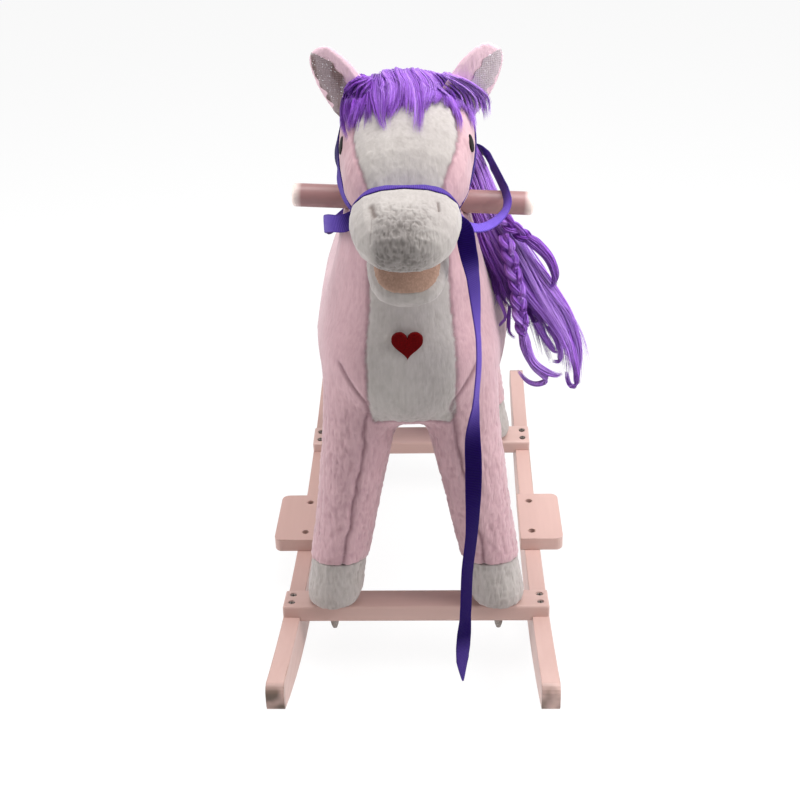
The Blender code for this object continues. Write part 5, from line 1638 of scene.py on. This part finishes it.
def make_eyes(tree):
    """A low polished dome set flush in the cheek: its height falls off as the root of one less
    the radius squared."""
    rings, sides = 20, 48
    share, angle = np.linspace(0, 1, rings)[1:, None], circle(sides)[None]
    height = EYE_CROWN * np.sqrt(np.clip(1 - share**2, 0, 1))
    for side, outward_x in zip(SIDES, (1, -1)):
        middle = Vector(node_points(f"eye_{side}").mean(axis=0))
        aim = Vector((outward_x, 0, 0))
        place, facing, _, _ = tree.ray_cast(middle + aim * 0.05, -aim)
        around = [tree.find_nearest(place + Vector((0, math.cos(a), math.sin(a))) * EYE_RADIUS)[1]
                  for a in circle(12)]
        facing = unit(np.array(sum(around, facing)))
        middle = np.array(place) - facing * EYE_SINK
        first = unit(np.cross(facing, UPWARD))
        second = np.cross(facing, first)
        flat = EYE_RADIUS * (first * (share * np.cos(angle))[..., None]
                             + second * (share * np.sin(angle))[..., None])
        dome = middle + flat + facing * (height * np.ones_like(angle))[..., None]
        grid = np.concatenate((dome, dome[-1:] - facing * EYE_RIM)).reshape(-1, 3)
        count = rings * sides
        faces = [ring_faces(rings, sides), fan(count, 0, sides),
                 count - sides + np.arange(sides)[None]]
        points = np.vstack((grid, middle + facing * EYE_CROWN))
        add_piece(closed_mesh(f"eye_{side}_dome", points, faces), "eye", [f"eye_{side}"])


def make_heart():
    """A felt heart: the usual sum of cosines scaled inwards, low at its rim and full inside."""
    points = node_points("chest_heart")
    low, high = points.min(axis=0), points.max(axis=0)
    centre, half = (low + high) / 2, (high - low) / 2
    sides, rings = 160, 24
    angle = circle(sides)
    x = np.sin(angle) ** 3
    z = (13 * np.cos(angle) - 5 * np.cos(2 * angle) - 2 * np.cos(3 * angle)
         - np.cos(4 * angle) + 2.5) / 14.5
    share = np.linspace(1, 0, rings, endpoint=False)[:, None]
    outline_x = centre[0] + half[0] * x[None] * share
    outline_z = centre[2] + half[2] * z[None] * share
    front = low[1] + HEART_RIM - HEART_CROWN * (1 - share**6) ** 0.5 * np.ones_like(x)[None]
    fuzz = clumpy(np.stack((outline_x, front, outline_z), axis=-1).reshape(-1, 3), 0.0018, 4)
    front = front + HEART_FUZZ * (fuzz.reshape(rings, sides) - 0.5)
    face = np.stack((outline_x, front, outline_z), axis=-1)
    back = face[:1].copy()
    back[..., 1] = low[1] + HEART_BACK
    tip = (centre[0], low[1] - HEART_TIP, centre[2] + half[2] * 2.5 / 14.5)
    points = np.vstack((np.concatenate((back, face)).reshape(-1, 3), tip))
    data = closed_mesh("heart_felt", points, crowned_faces(rings + 1, sides))
    add_piece(data, "felt", ["chest_heart"])


# Rigid pieces

def make_handlebar():
    """A turned dowel: a straight run with a quarter round at each end, spun about its own axis,
    which is the direction that its solid spreads most in."""
    points = node_points("handlebar")
    spread = points - points.mean(axis=0)
    axis = np.linalg.eigh(np.cov(spread.T))[1][:, -1]
    axis = axis * np.sign(axis[0])
    run = points @ axis
    half = (run.max() - run.min()) / 2
    middle = points.mean(axis=0)
    middle = middle + axis * ((run.max() + run.min()) / 2 - middle @ axis)
    square = points - middle - np.outer((points - middle) @ axis, axis)
    radius = np.linalg.norm(square, axis=1).max()
    quarter = np.linspace(0, math.pi / 2, 9)
    rise = radius - BAR_CORNER + BAR_CORNER * np.sin(quarter)
    back = BAR_CORNER * (1 - np.cos(quarter))
    straight = np.linspace(-half + BAR_CORNER, half - BAR_CORNER, 40)[1:-1]
    along = np.concatenate((-half + back, straight, (half - back)[::-1]))
    wide = np.concatenate((rise, np.full(len(straight), radius), rise[::-1]))
    sides = 72
    angle = circle(sides)[None, :, None]
    first = unit(np.cross(axis, UPWARD))
    second = np.cross(axis, first)
    rings = (
        middle
        + along[:, None, None] * axis
        + wide[:, None, None] * (first * np.cos(angle) + second * np.sin(angle))
    )
    data = closed_mesh("handlebar_dowel", rings, closed_faces(len(rings), sides))
    # Painted light: the last stretch of each end is painted pale.
    pale_end = np.clip((np.abs(along) - half + BAR_PALE_END) / 0.003, 0, 1)
    paint(data, "end", np.repeat(pale_end, sides))
    add_piece(data, "bar", ["handlebar"])


def make_screws():
    """Sunk screws: a shank, and a head with a rim and a cross recess painted dark as painted shade,
    laid out on rings. Those of the footrests lie deep and are painted dark all over, as the painted
    shade of their holes."""
    sides, rings = 40, 14
    angle = circle(sides)[None]
    share = np.linspace(1, 0, rings, endpoint=False)[:, None]
    cross = np.minimum(np.abs(np.cos(angle)), np.abs(np.sin(angle))) * share < CROSS_HALF
    rim = np.clip((share - RIM_START) / RIM_SLOPE, 0, 1)
    recess = np.maximum(rim, cross * (share < CROSS_REACH))
    for node in [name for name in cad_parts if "screw" in name]:
        points = node_points(node)
        low, high = points.min(axis=0), points.max(axis=0)
        middle, radius = (low + high) / 2, (high[0] - low[0]) / 2
        # Painted shade: the rim and cross of each head, and all of a footrest screw's head.
        dark = np.ones_like(recess) if node.startswith("footrest") else recess
        wide = np.concatenate(([[SHANK_SHARE], [SHANK_SHARE], [1.0]], share)) * radius
        shank = np.repeat([[high[2] - low[2]], [SHANK_TOP], [HEAD_RIM]], sides, axis=1)
        drop = np.concatenate((shank, RECESS_DEEP * recess))
        grid = np.stack((middle[0] + wide * np.cos(angle), middle[1] + wide * np.sin(angle),
                         high[2] - drop), axis=-1).reshape(-1, 3)
        grid = np.vstack((grid, (middle[0], middle[1], high[2] - RECESS_DEEP)))
        data = closed_mesh(f"{node}_head", grid, crowned_faces(rings + 3, sides), smooth=False)
        paint(data, "recess", np.concatenate((np.zeros(3 * sides), dark.ravel(), [1.0])))
        add_piece(data, "steel", [node])


def finish_cad_nodes():
    """The rigid solids keep their shape and get the finish of what they are made of."""
    for name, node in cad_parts.items():
        if node.hide_render:
            continue
        if name.startswith(("rocker", "footrest_left", "footrest_right")):
            finish = "wood_y"
        elif name.endswith("crossbar"):
            finish = "wood_x"
        elif "screw" in name or "bolt" in name or name == "jaw_pin":
            finish = "steel"
        else:
            finish = "raw_wood"
        node.data.materials.clear()
        node.data.materials.append(MATERIALS[finish])


set_camera()
make_rein()
make_loose_strap()
make_plush()
make_noseband(surface_of("head_plush", "muzzle_plush"))
make_headstall(surface_of("head_plush"))
make_forelock(surface_of("head_plush", "ear_left_plush", "ear_right_plush"))
make_mane(surface_of("head_plush", "body_plush"))
make_tail()
make_mouth()
make_ear_linings()
make_eyes(surface_of("head_plush"))
make_heart()
make_handlebar()
make_screws()
finish_cad_nodes()
set_light()
set_floor()
SCENE.view_settings.view_transform = "Standard"
bpy.context.view_layer.update()
